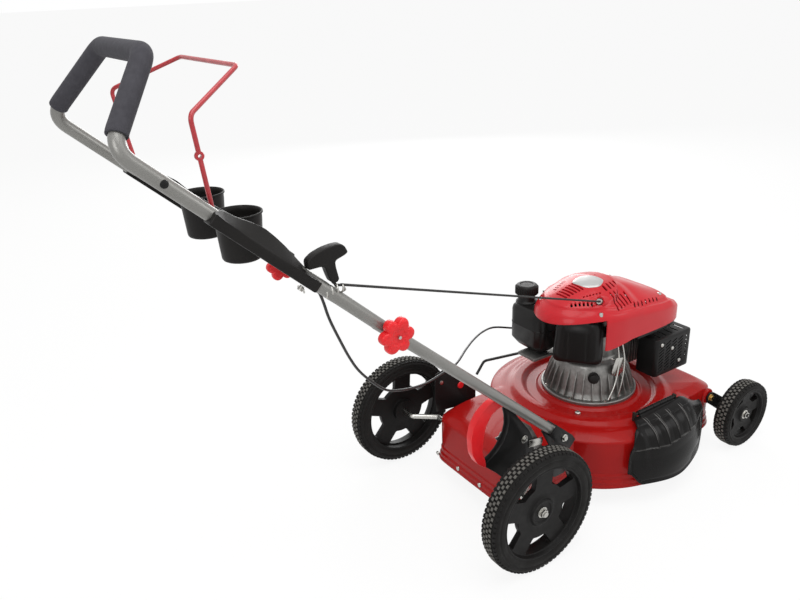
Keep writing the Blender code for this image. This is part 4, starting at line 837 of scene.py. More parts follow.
for label, w in wheels.items():
    for side, sign in leftRight:
        centre = (w["x"], sign * w["track"] / 2, w["diameter"] / 2)
        makeTyre(label, side, w, wheelForm, placeOn(centre, (0, sign, 0)))
        makeRim(label, side, w, wheelForm, centre, (0, sign, 0))
        makeHubNut(label, side, w, centre, (0, sign, 0))
print("wheels made")


engineX = deck["engineX"]

rope = {
    "radius": 0.00225,
    "finish": "braidedNylon",
    "slot": "rope_black",
    "stiffness": "limp",
    "lay": "taut",
    "gripEnd": (-0.4078, -0.2003, 0.7300),
    "start": (-0.3935, -0.2005, 0.7215),
    "end": (0.3475, -0.0755, 0.4550),
    "splitX": -0.300,
}


def ropeStart():
    return Vector(rope["start"])


def ropeEnd():
    return Vector(rope["end"])


def ropeLine():
    return (ropeStart() - ropeEnd()).normalized()


crankcase = {
    "baseZ": 0.1863,
    "fins": 30,
    "finThickness": 0.0022,
    "screws": 8,
    "screwCircleR": 0.1085,
    "screwTurnDeg": 20,
    "screwHead": ((0, 0.0042), (0.0030, 0.0042), (0.0046, 0.0034), (0.0050, 0.0), (0.0050, -0.001), (0, -0.001)),
    "barrel": ((0.430, -0.036, 0.234), (0.598, 0.048, 0.328)),  # lowest and highest corners
    "plates": 9,
    "plateGap": 0.0105,
    "plateThick": 0.0035,
    "plateReach": (0.008, 0.007),  # past the barrel at the sides and below, and above it
    "shelf": ((0.262, 0.045, 0.2752), (0.374, 0.105, 0.2827)),
    "inletOut": (-0.795, -0.607, 0),
    "inlet": (0.050, 0.318, 0.014, 0.0229),  # distance from the engine's middle, height, radius, length
    "shroudHalfDeg": 72,
    "shroudZ": (0.3425, 0.3510),
}


def roundedBox(name, low, high, corner, edge=0.0008, steps=4):
    outline = roundedOutline(rectangle(low[0], low[1], high[0], high[1]), corner, steps)
    return pushed(name, outline, low[2], high[2], "xy", edge)


def makeCase(c):
    z = c["baseZ"]
    corners = [
        (0, z, 0), (0.118, z, 0.0006), (0.118, z + 0.0075, 0.0015), (0.1140, z + 0.0090, 0.001),
        (0.1125, z + 0.0080, 0.001), (0.1040, z + 0.0085, 0.002), (0.0985, z + 0.0200, 0.004), (0.0905, 0.2550, 0.008),
        (0.0840, 0.2750, 0.006), (0.0660, 0.2870, 0.006), (0.0600, 0.3420, 0), (0, 0.3420, 0),
    ]
    centre = (engineX, 0, 0)
    body = turned("case", arcs(corners, 4), 120, centre)
    fin = [(0.0880, z + 0.0082), (0.1120, z + 0.0082), (0.1115, 0.2040), (0.1010, 0.2380), (0.0900, 0.2600),
           (0.0850, 0.2600)]
    thick = c["finThickness"] / 2
    shape = pushed("fin", fin, -thick, thick, "xz", 0.0006)
    atOrigin(shape)
    values = {"Columns": c["fins"], "Rows": 1, "Radius": 0.0}
    fins = repeated("caseFins", roundTree, shape, "castAluminium", Matrix.Translation(centre), **values)
    screw = turned("screw", c["screwHead"], 12, shift=0)
    turn = Matrix.Rotation(math.radians(c["screwTurnDeg"]), 4, "Z")
    place = Matrix.Translation((engineX, 0, z + 0.0078)) @ turn
    values = {"Columns": c["screws"], "Rows": 1, "Radius": c["screwCircleR"]}
    screws = repeated("caseScrews", roundTree, screw, "zincPlatedSteel", place, **values)
    fit(screws, "zincPlatedSteel", "mower", "plated_steel")
    return [body, fins]


def makeBarrel(c):
    low, high = c["barrel"]
    parts = [roundedBox("barrel", low, high, 0.008)]
    reach, above = c["plateReach"]
    outline = roundedOutline(rectangle(low[1] - reach, low[2] - reach, high[1] + reach, high[2] + above), 0.012)
    for k in range(c["plates"]):
        x = high[0] - 0.0085 - c["plateGap"] * k
        parts.append(pushed("plate", outline, x, x + c["plateThick"], "yz", 0.0007))
    parts.append(roundedBox("shelf", *c["shelf"], 0.004))
    away, z, radius, length = c["inlet"]
    out = Vector(c["inletOut"])
    start = Vector((engineX, 0, z)) + out * away
    return [*parts, turned("inlet", solidRod(radius, 0, length), 32, start, out)]


def makeCrankcase(c):
    made = gathered("crankcaseCasting", [*makeCase(c), *makeBarrel(c)])
    fit(made, "castAluminium", "mower", "cast_aluminium", "engine_block", smoothDeg=32)
    outline = []
    for k in range(41):
        angle = math.radians(c["shroudHalfDeg"] * (k / 20 - 1))
        reach = housingReach(angle) - 0.0035
        outline.append((engineX + reach * math.cos(angle), reach * math.sin(angle)))
    shroud = pushed("shroudPlate", outline, *c["shroudZ"], "xy", 0.0006)
    fit(shroud, "blackPowderCoat", "mower", "black_paint")


linkage = {
    "rodR": 0.0021,
    "rods": (
        ((0.4060, -0.0900, 0.3300), (0.4030, -0.1000, 0.2850), (0.3860, -0.1060, 0.2350), (0.3640, -0.1080, 0.2020)),
        ((0.4220, -0.0900, 0.3300), (0.4200, -0.1020, 0.2900), (0.4090, -0.1080, 0.2400), (0.3980, -0.1090, 0.2010)),
        ((0.3900, -0.0860, 0.2980), (0.4050, -0.0960, 0.2900), (0.4300, -0.0960, 0.2870), (0.4520, -0.0860, 0.2840)),
    ),
    "arm": ((0.380, 0.262), (0.402, 0.250), (0.430, 0.266), (0.424, 0.296), (0.392, 0.304)),
    "armY": (-0.1000, -0.0975),
}


def makeLinkage(n):
    # bright governor and brake rods beside the crankcase
    rods = [bar("rod", easyRoute(route, 8), n["rodR"], 12, "zincPlatedSteel") for route in n["rods"]]
    fit(gathered("brakeLinkRods", rods), "zincPlatedSteel", "mower", "plated_steel", smoothDeg=50)
    arm = pushed("brakeArm", roundedOutline(n["arm"], 0.006), *n["armY"], "xz", 0.0006)
    fit(arm, "zincPlatedSteel", "mower", "plated_steel")


housing = {
    "front": (0.222, 0.117, 5),  # reach ahead of the engine, half width, squareness
    "rear": (0.162, 0.117, 2),
    "hemZ": 0.352,
    "rearHemZ": 0.4045,
    "wall": 0.003,
    "columns": 240,
    "rowGap": 0.0025,
    # share of the reach, height, corner
    "profile": ((0.32, 0.481, 0.016), (0.47, 0.474, 0.016), (0.60, 0.465, 0.016), (0.74, 0.4545, 0.016),
                (0.843, 0.4448, 0.0025), (0.858, 0.4398, 0.0025), (0.95, 0.427, 0.012)),
    "poleZ": 0.485,
    "poleLift": 0.0016,
    "slope": ((0.380, 1.0), (0.440, 0.95), (0.470, 0.88), (0.567, 0.77), (0.600, 0.62), (0.632, 0.36)),
    "domeCentre": (0.363, -0.007),
    "domeR": 0.080,
    "domeLift": 0.0026,
    "domeStep": 0.0090,
    "valley": (0.0050, 0.016),  # depth and reach of the hollow round the dome
    "archAngleDeg": 217,
    "archHalfDeg": 40,
    "archRise": 0.0125,
    "skirtLowZ": 0.300,
    "skirtR": 0.20,
    "skirtNear": 0.057,
    "slotZ": (0.400, 0.500),
    # rows of slots: count, first and last middle, first and last length, width, first and last turn in degrees
    "slots": (
        (6, (0.3000, 0.0), (0.3410, -0.0100), (0.0360, 0.0400), 0.0044, (90, 90)),
        (5, (0.3120, 0.0345), (0.3440, 0.0385), (0.0130, 0.0130), 0.0034, (90, 90)),
        (1, (0.3840, -0.05575), (0, 0), (0.0165, 0), 0.0060, (90, 0)),
        (1, (0.3986, -0.0540), (0, 0), (0.0180, 0), 0.0060, (90, 0)),
        (1, (0.4132, -0.05075), (0, 0), (0.0185, 0), 0.0060, (90, 0)),
        (1, (0.4278, -0.04825), (0, 0), (0.0185, 0), 0.0060, (90, 0)),
        (5, (0.3860, -0.0850), (0.4360, -0.0810), (0.0330, 0.0330), 0.0046, (90, 78)),
        (7, (0.4420, -0.0990), (0.5280, -0.0945), (0.0105, 0.0105), 0.0040, (62, 62)),
        (6, (0.3270, -0.0450), (0.3640, -0.0600), (0.0048, 0.0048), 0.0046, (-20, -20)),
        (6, (0.2930, -0.0400), (0.3290, -0.0690), (0.0110, 0.0110), 0.0052, (52, 52)),
    ),
    "ropeBoss": ((0, 0.001), (0.0125, 0.001), (0.0132, 0.003), (0.0150, 0.036), (0, 0.036)),
    "ropeSeatR": 0.0091,
    "plate": ((0.3420, 0.0120), (0.3660, 0.0180), (0.3980, -0.0020), (0.4080, -0.0330), (0.3760, -0.0500),
              (0.3470, -0.0300)),
    "plateRings": ((1.0, -0.0030), (1.0, 0.0006), (0.965, 0.0014), (0.75, 0.0014), (0.5, 0.0014), (0.25, 0.0014)),
    "screws": ((0.3361, -0.0920), (0.2900, 0.0560), (0.5560, -0.0800), (0.5560, 0.0800), (0.3361, 0.0920)),
    "screwHead": ((0, 0.0030), (0.0028, 0.0028), (0.0046, 0.0018), (0.0052, 0.0), (0.0052, -0.006), (0, -0.006)),
}


def housingReach(angle):
    return boxReach(angle, *(housing["rear"] if math.cos(angle) <= 0 else housing["front"]))


def housingProfile(h, angle, inset):
    # the section at this angle as (reach, height) points; every angle gives the same number of them
    edge = housingReach(angle)
    corners = [(0.0015, h["poleZ"] - inset, 0), (0.1 * edge, h["poleZ"] - 0.0005 - inset, 0.02)]
    corners += [((share * edge) - inset * share, z - inset, corner) for share, z, corner in h["profile"]]
    corners += [(edge - inset, 0.411, 0.007), (edge - inset, h["hemZ"], 0)]
    return arcs(corners, 4)


def housingSurface(h):
    longest = housingProfile(h, 0.0, 0.0)
    parts = [max(1, math.ceil((b - a).length / h["rowGap"])) for a, b in zip(longest, longest[1:])]
    parts[-1] = 4

    def profile(angle, inset):
        x = engineX + housingReach(angle) * math.cos(angle)
        hem = between(((0.354, h["hemZ"] - 0.012), (0.425, h["hemZ"])), x)
        coarse = housingProfile(h, angle, inset)
        fine = [coarse[0]]
        for a, b, count in zip(coarse, coarse[1:], parts):
            fine += [a + (b - a) * ((k + 1) / count) for k in range(count)]
        points = []
        for p in fine:
            spot = (engineX + p.x * math.cos(angle), p.x * math.sin(angle))
            lift = (p.y - h["hemZ"]) * softBetween(h["slope"], spot[0])
            z = h["hemZ"] + lift
            away = math.hypot(spot[0] - h["domeCentre"][0], spot[1] - h["domeCentre"][1])
            step = ramp(h["domeR"] - 0.0010, h["domeR"] + 0.0030, away)
            top = ramp(0.425, 0.437, p.y) * ramp(0.340, 0.390, spot[0])
            deep, reach = h["valley"]
            valley = step * math.exp(-((away - h["domeR"]) / reach) ** 2) * ramp(0.372, 0.412, spot[0])
            z += (h["domeLift"] - h["domeStep"] * step - deep * valley) * top
            points.append((spot[0], spot[1], z))
        points[-1] = (points[-1][0], points[-1][1], hem)
        return points

    return profile


def slotBox(centre, length, width, turnDeg):
    # an upright cutter through the housing's top, whose length lies at this angle to the mower's line
    half, side = length / 2, width / 2
    turn = math.radians(turnDeg)
    spots = [(centre[0] + a * math.cos(turn) - b * math.sin(turn),
              centre[1] + a * math.sin(turn) + b * math.cos(turn))
             for a, b in roundedOutline(rectangle(-half, -side, half, side), side * 0.9, 3)]
    return pushed("slot", spots, *housing["slotZ"], "xy")


def slotRows(h):
    made = []
    for count, first, last, lengths, width, turns in h["slots"]:
        for k in range(count):
            t = k / max(count - 1, 1)
            centre = [a + (b - a) * t for a, b in zip(first, last)]
            length, turnDeg = (ends[0] + (ends[1] - ends[0]) * t for ends in (lengths, turns))
            made.append(slotBox(centre, length, width, turnDeg))
    return made


def rearSkirt(h):
    # cuts the housing's rear hem up to an arch over the filter cover
    middle, half = math.radians(h["archAngleDeg"]), math.radians(h["archHalfDeg"])
    far, near, low = h["skirtR"], h["skirtNear"], h["skirtLowZ"]
    columns = []
    for k in range(61):
        angle = math.radians(90 + 180 * k / 60)
        high = h["rearHemZ"] + h["archRise"] * (1 - ramp(0, half, abs(angle - middle)))
        x, y = math.cos(angle), math.sin(angle)
        outside = (engineX + far * x, far * y)
        inside = (engineX - near + 0.01 * x, 0.175 * y)
        columns.append([(*outside, low), (*outside, high), (*inside, high), (*inside, low)])
    return skin("rearSkirtCut", columns)


def makeHousing(h):
    surfaceOf = housingSurface(h)
    angles = evenAngles(housingReach, h["columns"])
    outside = list(zip(*[surfaceOf(angle, 0.0) for angle in angles]))
    inside = list(zip(*[surfaceOf(angle, h["wall"]) for angle in angles]))
    top = h["poleZ"] + h["poleLift"]
    rows = [[(engineX, 0, top)], *outside, *inside[::-1], [(engineX, 0, top - h["wall"])]]
    made = skin("blowerHousing", [list(row) for row in rows], caps=False)
    cutters = slotRows(h)
    back = -ropeLine()
    carve(made, turned("ropeBoss", h["ropeBoss"], 40, ropeEnd(), back), "UNION")
    cutters.append(turned("ropeSeat", solidRod(h["ropeSeatR"], 0.0063, -0.060), 32, ropeEnd(), back))
    carve(made, gathered("slots", cutters))
    carve(made, rearSkirt(h))
    return fit(made, "mouldedRedAbs", "mower", "engine_red", "blower_housing", smoothDeg=38)


def makeHousingTrim(h, shell):
    skinTree = BVHTree.FromObject(shell, bpy.context.evaluated_depsgraph_get())

    def onTop(x, y, lift=0.0):
        hit = skinTree.ray_cast(Vector((x + rearAxleX, y, 0.60)), Vector((0, 0, -1)))
        return (x, y, hit[0].z + lift)

    shape = roundedOutline(h["plate"], 0.014, 6)
    middle = middleOf(shape)
    rows = []
    for share, lift in h["plateRings"]:
        spots = [middle + (p - middle) * share for p in shape]
        rows.append([onTop(p.x, p.y, lift) for p in spots])
    rows.append([onTop(middle.x, middle.y, lift)])
    fit(skin("starterPlate", rows), "satinGreyPlate", "mower", "cast_aluminium")
    heads = [turned("head", h["screwHead"], 20, onTop(x, y)) for x, y in h["screws"]]
    fit(gathered("housingScrews", heads), "zincPlatedSteel", "mower", "plated_steel")


makeCrankcase(crankcase)
makeLinkage(linkage)
makeHousingTrim(housing, makeHousing(housing))
print("engine casting and housing made")


tank = {
    "low": (0.269, 0.034),
    "high": (0.349, 0.152),
    "rows": ((0.026, 0.283), (0.012, 0.294), (0.0, 0.311), (0.0, 0.3500), (-0.0006, 0.3508), (-0.0006, 0.3522),
             (0.0, 0.3530), (0.0, 0.386), (0.0016, 0.394), (0.006, 0.400), (0.012, 0.4022)),
    "neck": (0.306, 0.125),
    "neckR": 0.0215,
    "neckTop": 0.4385,
    "capR": 0.029,
    "capLow": 0.424,
    "capHigh": 0.4485,
    "capRibs": 30,
}


def makeTank(t):
    low, high = t["low"], t["high"]
    rows = []
    for inset, z in t["rows"]:
        corners = rectangle(low[0] + inset, low[1] + inset, high[0] - inset, high[1] - inset)
        rows.append([(p.x, p.y, z) for p in roundedOutline(corners, 0.030 - max(inset, 0) * 0.5, 8)])
    body = skin("tankBody", rows)
    x, y = t["neck"]
    collar = [(0, 0.398), (0.0270, 0.398), (0.0265, 0.4040), (0.0230, 0.4065), (t["neckR"], 0.4090),
              (t["neckR"], t["neckTop"]), (0, t["neckTop"])]
    neck = turned("neck", collar, 48, (x, y, 0))
    made = gathered("fuelTankShell", [body, neck])
    fit(made, "blowMouldedPolyethylene", "mower", "black_plastic", "fuel_tank", smoothDeg=40)

    r, base, top = t["capR"], t["capLow"], t["capHigh"]
    inside = t["neckR"] + 0.0005
    profile = [(0, t["neckTop"] + 0.0005, 0), (inside, t["neckTop"] + 0.0005, 0), (inside, base, 0),
               (r * 0.955, base, 0.001), (r * 0.965, top - 0.006, 0.003), (r * 0.86, top - 0.0005, 0.003),
               (r * 0.60, top + 0.0002, 0.001), (r * 0.56, top - 0.0012, 0.001), (r * 0.30, top - 0.0010, 0),
               (0, top - 0.0006, 0)]
    cap = turned("cap", arcs(profile, 3), 90, (0, 0, 0), shift=0)
    rib = roundedBox("rib", (-0.0014, -0.0013, base + 0.001), (0.0012, 0.0013, top - 0.005), 0.0009, 0.0005, 2)
    atOrigin(rib)
    values = {"Columns": t["capRibs"], "Rows": 1, "Radius": r * 0.965}
    place = Matrix.Translation((x, y, 0))
    made = repeated("fuelCapRibbed", roundTree, rib, "mouldedPolypropylene", place, cap, **values)
    fit(made, "mouldedPolypropylene", "tank_cap", "black_paint", "fuel_cap", smoothDeg=40)


filterCover = {
    "face": (0.3095, -0.0485),
    "out": (-0.795, -0.607),
    "along": (0.607, -0.795),
    "middleZ": 0.3455,
    "halfW": 0.060,
    "halfH": 0.0555,
    "steps": ((0.036, 0.004), (0.034, 0.0), (0.014, 0.0), (0.010, 0.0008), (0.006, 0.0030), (0.003, 0.0060),
              (0.001, 0.0095), (0.0, 0.0135)),
    "rings": 14,
    "scoop": (0.0060, 0.034),  # depth and half width of the hollow under the upper edge
    "crease": (0.0009, 0.024),  # depth and distance from the middle of the two upright lines
    "crown": 0.0022,
    "arch": 0.0085,
}


def filterOutline(f, inset, radius):
    w, h = f["halfW"] - inset, f["halfH"] - inset
    corners = [(-w, -h), (w, -h), (w * 0.94, h), (-w * 0.86, h)]
    return denser(roundedOutline(corners, radius, 8), 0.003)


def makeFilterCover(f):
    out, along, face = Vector(f["out"]), Vector(f["along"]), Vector(f["face"])

    def spot(a, b, depth):
        deep, reach = f["scoop"]
        scoop = deep * (1 - min(abs(a) / reach, 1) ** 2) * ramp(0.026, 0.044, b)
        deep, reach = f["crease"]
        crease = deep * math.exp(-((abs(a) - reach) / 0.0016) ** 2) * ramp(-0.046, -0.040, b)
        bow = 1 - (a / f["halfW"]) ** 2
        depth = depth + (scoop + crease - f["crown"] * bow) * ramp(0.010, 0.0, depth)
        arch = f["arch"] * bow * ramp(0.0, 0.050, b)
        place = face - out * depth + along * a
        return (place.x, place.y, f["middleZ"] + b + arch)

    rows = []
    for depth, inset in f["steps"]:
        rows.append([spot(p.x, p.y, depth) for p in filterOutline(f, inset, 0.020)])
    rim = filterOutline(f, f["steps"][-1][1], 0.016)
    for k in range(1, f["rings"]):
        share = 1 - k / f["rings"]
        rows.append([spot(p.x * share, p.y * share, 0.0) for p in rim])
    count = min(len(row) for row in rows)
    rows = [evenly(row, count) for row in rows]
    made = skin("filterCoverShell", [*rows, [spot(0, 0, 0.0)]])
    fit(made, "blowMouldedPolyethylene", "mower", "black_plastic", "air_filter_cover", smoothDeg=50)


def denser(outline, longest):
    made = []
    for a, b in zip(outline, outline[1:] + outline[:1]):
        a, b = Vector(a), Vector(b)
        steps = max(1, math.ceil((b - a).length / longest))
        made += [a + (b - a) * (k / steps) for k in range(steps)]
    return made


def evenly(ring, count):
    # the same closed ring with this many points, evenly spaced, from its first point
    ring = [Vector(p) for p in ring]
    lengths = [0.0]
    for a, b in zip(ring, ring[1:] + ring[:1]):
        lengths.append(lengths[-1] + (b - a).length)
    made, k = [], 0
    for i in range(count):
        wanted = lengths[-1] * i / count
        while lengths[k + 1] < wanted:
            k += 1
        share = (wanted - lengths[k]) / max(lengths[k + 1] - lengths[k], 1e-9)
        made.append(ring[k] + (ring[(k + 1) % len(ring)] - ring[k]) * share)
    return made


makeTank(tank)
makeFilterCover(filterCover)
print("tank and filter cover made")


guard = {
    "low": (0.500, -0.132, 0.226),
    "high": (0.632, -0.068, 0.327),
    "wall": 0.0018,
    "corner": 0.012,
    "slot": (0.0095, 0.0017),  # half length, half width
    "slotAt": (0.519, 0.2420),
    "slotGrid": {"Columns": 4, "Rows": 9, "Column Gap": 0.0235, "Row Gap": 0.0088, "Row Shift": 0.0, "Turn": 0.42},
    "holeR": 0.0026,
    "holeAt": (0.6130, 0.2560),
    "holeGrid": {"Columns": 1, "Rows": 6, "Column Gap": 0.0, "Row Gap": 0.0110, "Row Shift": 0.0, "Turn": 0.0},
    # count, lowest and highest corner of the first slot, and how far each next one lies
    "topSlots": (5, (0.520, -0.120, 0.525, -0.088), 0.0225),
    "endSlots": (6, (-0.124, 0.246, -0.078, 0.2545), 0.0125),
    "screws": ((0.5585, 0.2925), (0.5900, 0.2500), (0.5180, 0.3120)),
    "screwHead": ((0, 0.0032), (0.0030, 0.0030), (0.0048, 0.0018), (0.0052, 0.0), (0.0052, -0.001), (0, -0.001)),
}


def makeGuard(g):
    low, high, wall = Vector(g["low"]), Vector(g["high"]), g["wall"]
    body = roundedBox("guardBody", low, high, g["corner"], 0.004, 6)
    inside = (low + Vector((wall, wall, wall)), high + Vector((-wall, 0.030, -wall)))
    carve(body, roundedBox("guardHollow", *inside, g["corner"] - wall, 0.003, 6))

    def facing(x, z):
        return placeOn((x, low[1], z), (0, -1, 0))

    half, side = g["slot"]
    slot = pushed("slot", roundedOutline(rectangle(-half, -side, half, side), 0.0015, 2), -0.006, 0.006, "xy")
    atOrigin(slot)
    carve(body, repeated("guardSlots", gridTree, slot, "blackPowderCoat", facing(*g["slotAt"]), **g["slotGrid"]))
    hole = turned("hole", solidRod(g["holeR"], -0.006, 0.006), 14, shift=0)
    carve(body, repeated("guardHoles", gridTree, hole, "blackPowderCoat", facing(*g["holeAt"]), **g["holeGrid"]))
    slots = []
    count, (a0, b0, a1, b1), gap = g["topSlots"]
    for k in range(count):
        outline = roundedOutline(rectangle(a0 + gap * k, b0, a1 + gap * k, b1), 0.0022, 2)
        slots.append(pushed("slot", outline, high[2] - 0.006, high[2] + 0.004, "xy"))
    count, (a0, b0, a1, b1), gap = g["endSlots"]
    for k in range(count):
        outline = roundedOutline(rectangle(a0, b0 + gap * k, a1, b1 + gap * k), 0.0022, 2)
        slots.append(pushed("slot", outline, high[0] - 0.006, high[0] + 0.004, "yz"))
    carve(body, gathered("moreSlots", slots))
    fit(body, "blackPowderCoat", "mower", "black_paint", "muffler_guard", smoothDeg=32)
    heads = [turned("head", g["screwHead"], 20, (x, low[1], z), (0, -1, 0)) for x, z in g["screws"]]
    fit(gathered("guardScrews", heads), "zincPlatedSteel", "mower", "plated_steel")


makeGuard(guard)
print("muffler guard made")


handle = {
    "sideY": 0.177,
    "tubeR": 0.011,
    "boreR": 0.0095,
    "pivot": (0.132, 0.229),
    "clamp": (-0.307, 0.615),
    "upperX": (-0.285, -0.560, -0.697),
    "upperY": (0.200, 0.198, 0.188),
    "crossX": -0.6165,
    "crossY": 0.1135,
    "crossZ": 1.081,
    "radii": (0.100, 0.035, 0.030),
    "foamFrom": 0.988,
    "foamR": 0.015,
    "boltX": -0.642,
    "boltY": 0.2015,
    "boltHead": ((0, 0.0032), (0.0031, 0.0030), (0.00558, 0.0018), (0.0062, 0.0), (0.0062, -0.004), (0, -0.004)),
    "lineSlope": (-0.349, 0.322),
}


def lineZ(x):
    # the height of the straight part of the upper tubes
    along, rise = handle["lineSlope"]
    return handle["clamp"][1] + (x - handle["clamp"][0]) * (rise / along)


def mirrored(corners, radii, steps=12):
    # the path of one side, over the middle to the other side
    far = [(x, -y, z) for x, y, z in corners[::-1]]
    return bentPath([*corners, *far], [*radii, *radii[::-1]], steps)


def upperPath(h):
    xs, ys = h["upperX"], h["upperY"]
    corners = [(x, y, lineZ(x)) for x, y in zip(xs, ys)] + [(h["crossX"], h["crossY"], h["crossZ"])]
    return mirrored(corners, h["radii"])


def makeTubes(h):
    tube = pipe("upperTubePipe", upperPath(h), h["tubeR"], h["boreR"])
    x, y, inside = h["upperX"], h["upperY"], h["boreR"] - 0.0002
    plug = [(0, -0.0012), (0.0085, -0.0012), (0.0106, -0.0002), (0.0106, 0.0006), (inside, 0.0012), (inside, 0.010),
            (0, 0.010)]
    ends = []
    for sign in (1, -1):
        spot = Vector((x[0], sign * y[0], lineZ(x[0])))
        line = Vector((x[1] - x[0], sign * (y[1] - y[0]), lineZ(x[1]) - spot.z)).normalized()
        ends.append(turned("plug", plug, 32, spot, line))
    fit(tube, "silverPowderCoat", "upper_handle", "tube_grey", "upper_tube")
    fit(gathered("tubeEndPlugs", ends), "mouldedPolypropylene", "upper_handle", "black_plastic")

    low, high = Vector(h["pivot"]), Vector(h["clamp"])
    line = (high - low).normalized()
    for side, sign in leftRight:
        path = [(p.x, sign * h["sideY"], p.y) for p in (low - line * 0.034, high + line * 0.016)]
        made = pipe(f"lowerTubePipe_{side}", path, h["tubeR"], h["boreR"])
        fit(made, "silverPowderCoat", "lower_handle", "tube_grey", f"lower_tube_{side}")


def makeFoam(h):
    # the grip is smooth closed-cell foam pulled over the tube, with soft ends
    path = [p for p in upperPath(h) if p[2] > h["foamFrom"]]
    sleeve = pipe("foamSleeve", path, h["foamR"], h["tubeR"] + 0.0001, 40)
    bevelled(sleeve, 0.0012, 2)
    fit(sleeve, "evaFoam", "upper_handle", "foam_grey", "foam_grip")


def makeTubeBolts(h):
    x = h["boltX"]
    for side, sign in leftRight:
        head = turned(f"tubeBoltHeads_{side}", h["boltHead"], 24, (x, sign * h["boltY"], lineZ(x)), (0, sign, 0))
        fit(head, "blackPowderCoat", "upper_handle", "black_paint")


makeTubes(handle)
makeFoam(handle)
makeTubeBolts(handle)
print("handle tubes made")


console = {
    "line": (-0.735, 0, 0.678),  # along the handle from the clamp
    "up": (0.678, 0, 0.735),
    # (y, inset, how much of the height over sideTop stays) outwards: the upper face slopes down to the side
    "sideSteps": ((0.190, 0.0012, 1.0), (0.1912, 0.0, 1.0), (0.1975, 0.0, 1.0), (0.1990, 0.0, 0.93),
                  (0.2135, 0.0, 0.13), (0.2148, 0.0002, 0.06), (0.2160, 0.0012, 0.0), (0.2165, 0.0030, 0.0)),
    "sideTop": 0.0035,
    "profile": ((0.175, -0.0134), (0.175, 0.006), (0.183, 0.0105), (0.205, 0.011), (0.220, 0.014), (0.241, 0.0185),
                (0.255, 0.0215), (0.277, 0.0245), (0.297, 0.026), (0.315, 0.0235), (0.332, 0.0195), (0.347, 0.016),
                (0.362, 0.0148), (0.380, 0.0085), (0.380, -0.0134)),
    "tray": (0.227, 0.310, 0.0122, 0.0162),  # along from, along to, low, high
    "trayHalf": 0.1965,
    "cup": (-0.502, 0.080, 0.8325),
    "cupR": 0.0375,
    "cupDepth": 0.075,
    "cupWall": 0.0025,
}


def onConsole(along, up, y):
    spot = Vector((handle["clamp"][0], 0, handle["clamp"][1])) + Vector(console["line"]) * along
    spot = spot + Vector(console["up"]) * up
    return (spot.x, y, spot.z)


def consoleSides(c):
    outline = [Vector(p) for p in roundedOutline(c["profile"], 0.004, 4)]
    middle = middleOf(outline)
    made = []
    for sign in (1, -1):
        rows = []
        for y, inset, share in c["sideSteps"]:
            row = []
            for p in outline:
                away = p - middle
                high = p.y if p.y < c["sideTop"] else c["sideTop"] + (p.y - c["sideTop"]) * share
                spot = Vector((p.x - away.x / 0.1 * inset, high - max(min(away.y / 0.015, 1), -1) * inset))
                row.append(onConsole(spot.x, spot.y, sign * y))
            rows.append(row)
        made.append(skin("side", rows))
    return made


def trayPlate(c, levels):
    s0, s1 = c["tray"][:2]
    half = c["trayHalf"]
    rows = []
    for level, inset in levels:
        shape = roundedOutline(rectangle(s0 + inset, -half + inset, s1 - inset, half - inset), 0.010, 6)
        rows.append([onConsole(p.x, level, p.y) for p in shape])
    return skin("plate", rows)


def makeCups(c):
    # the two cups, and the bores that they need in the tray
    x, y, top = c["cup"]
    r, wall = c["cupR"], c["cupWall"]
    foot = top - c["cupDepth"]
    outer = [(0, foot, 0), (r * 0.86, foot, 0.006), (r, top - 0.010, 0.004), (r, top - 0.0012, 0),
             (r + 0.0022, top - 0.0010, 0.0006), (r + 0.0022, top + 0.0020, 0.0010),
             (r - 0.0005, top + 0.0022, 0.0008), (r - wall, top - 0.002, 0)]
    inner = [(0, foot + wall, 0), (r * 0.86 - wall, foot + wall, 0.004), (r - wall, top - 0.012, 0.004),
             (r - wall, top + 0.012, 0), (0, top + 0.012, 0)]
    cups, bores = [], []
    for sign in (1, -1):
        centre = (x, sign * y, 0)
        cup = turned("cup", arcs(outer, 4) + [(0, top - 0.002)], 72, centre)
        cups.append(carve(cup, turned("hole", arcs(inner, 4), 72, centre)))
        bores.append(turned("bore", solidRod(r - 0.0006, top - 0.08, top + 0.05), 72, centre))
    return cups, bores


def makeConsole(c):
    low, high = c["tray"][2:]
    sides = consoleSides(c)
    plate = trayPlate(c, ((low, 0.0006), (low + 0.0006, 0.0), (high - 0.0008, 0.0), (high, 0.0009)))
    lip = trayPlate(c, ((high - 0.001, 0.0004), (high + 0.0022, 0.0008), (high + 0.0030, 0.0018)))
    carve(lip, trayPlate(c, ((high - 0.0020, 0.0046), (high + 0.0060, 0.0042))))
    cups, bores = makeCups(c)
    carve(plate, gathered("cupBores", bores))
    made = gathered("consoleBody", [*sides, lip, *cups, plate])
    fit(made, "mouldedPolypropylene", "upper_handle", "black_plastic", "console", smoothDeg=40)


makeConsole(console)
print("console made")


knob = {
    "radius": 0.0335,
    "star": 0.20,
    "lobes": 6,
    "inY": 0.2122,
    "outY": 0.2302,
}


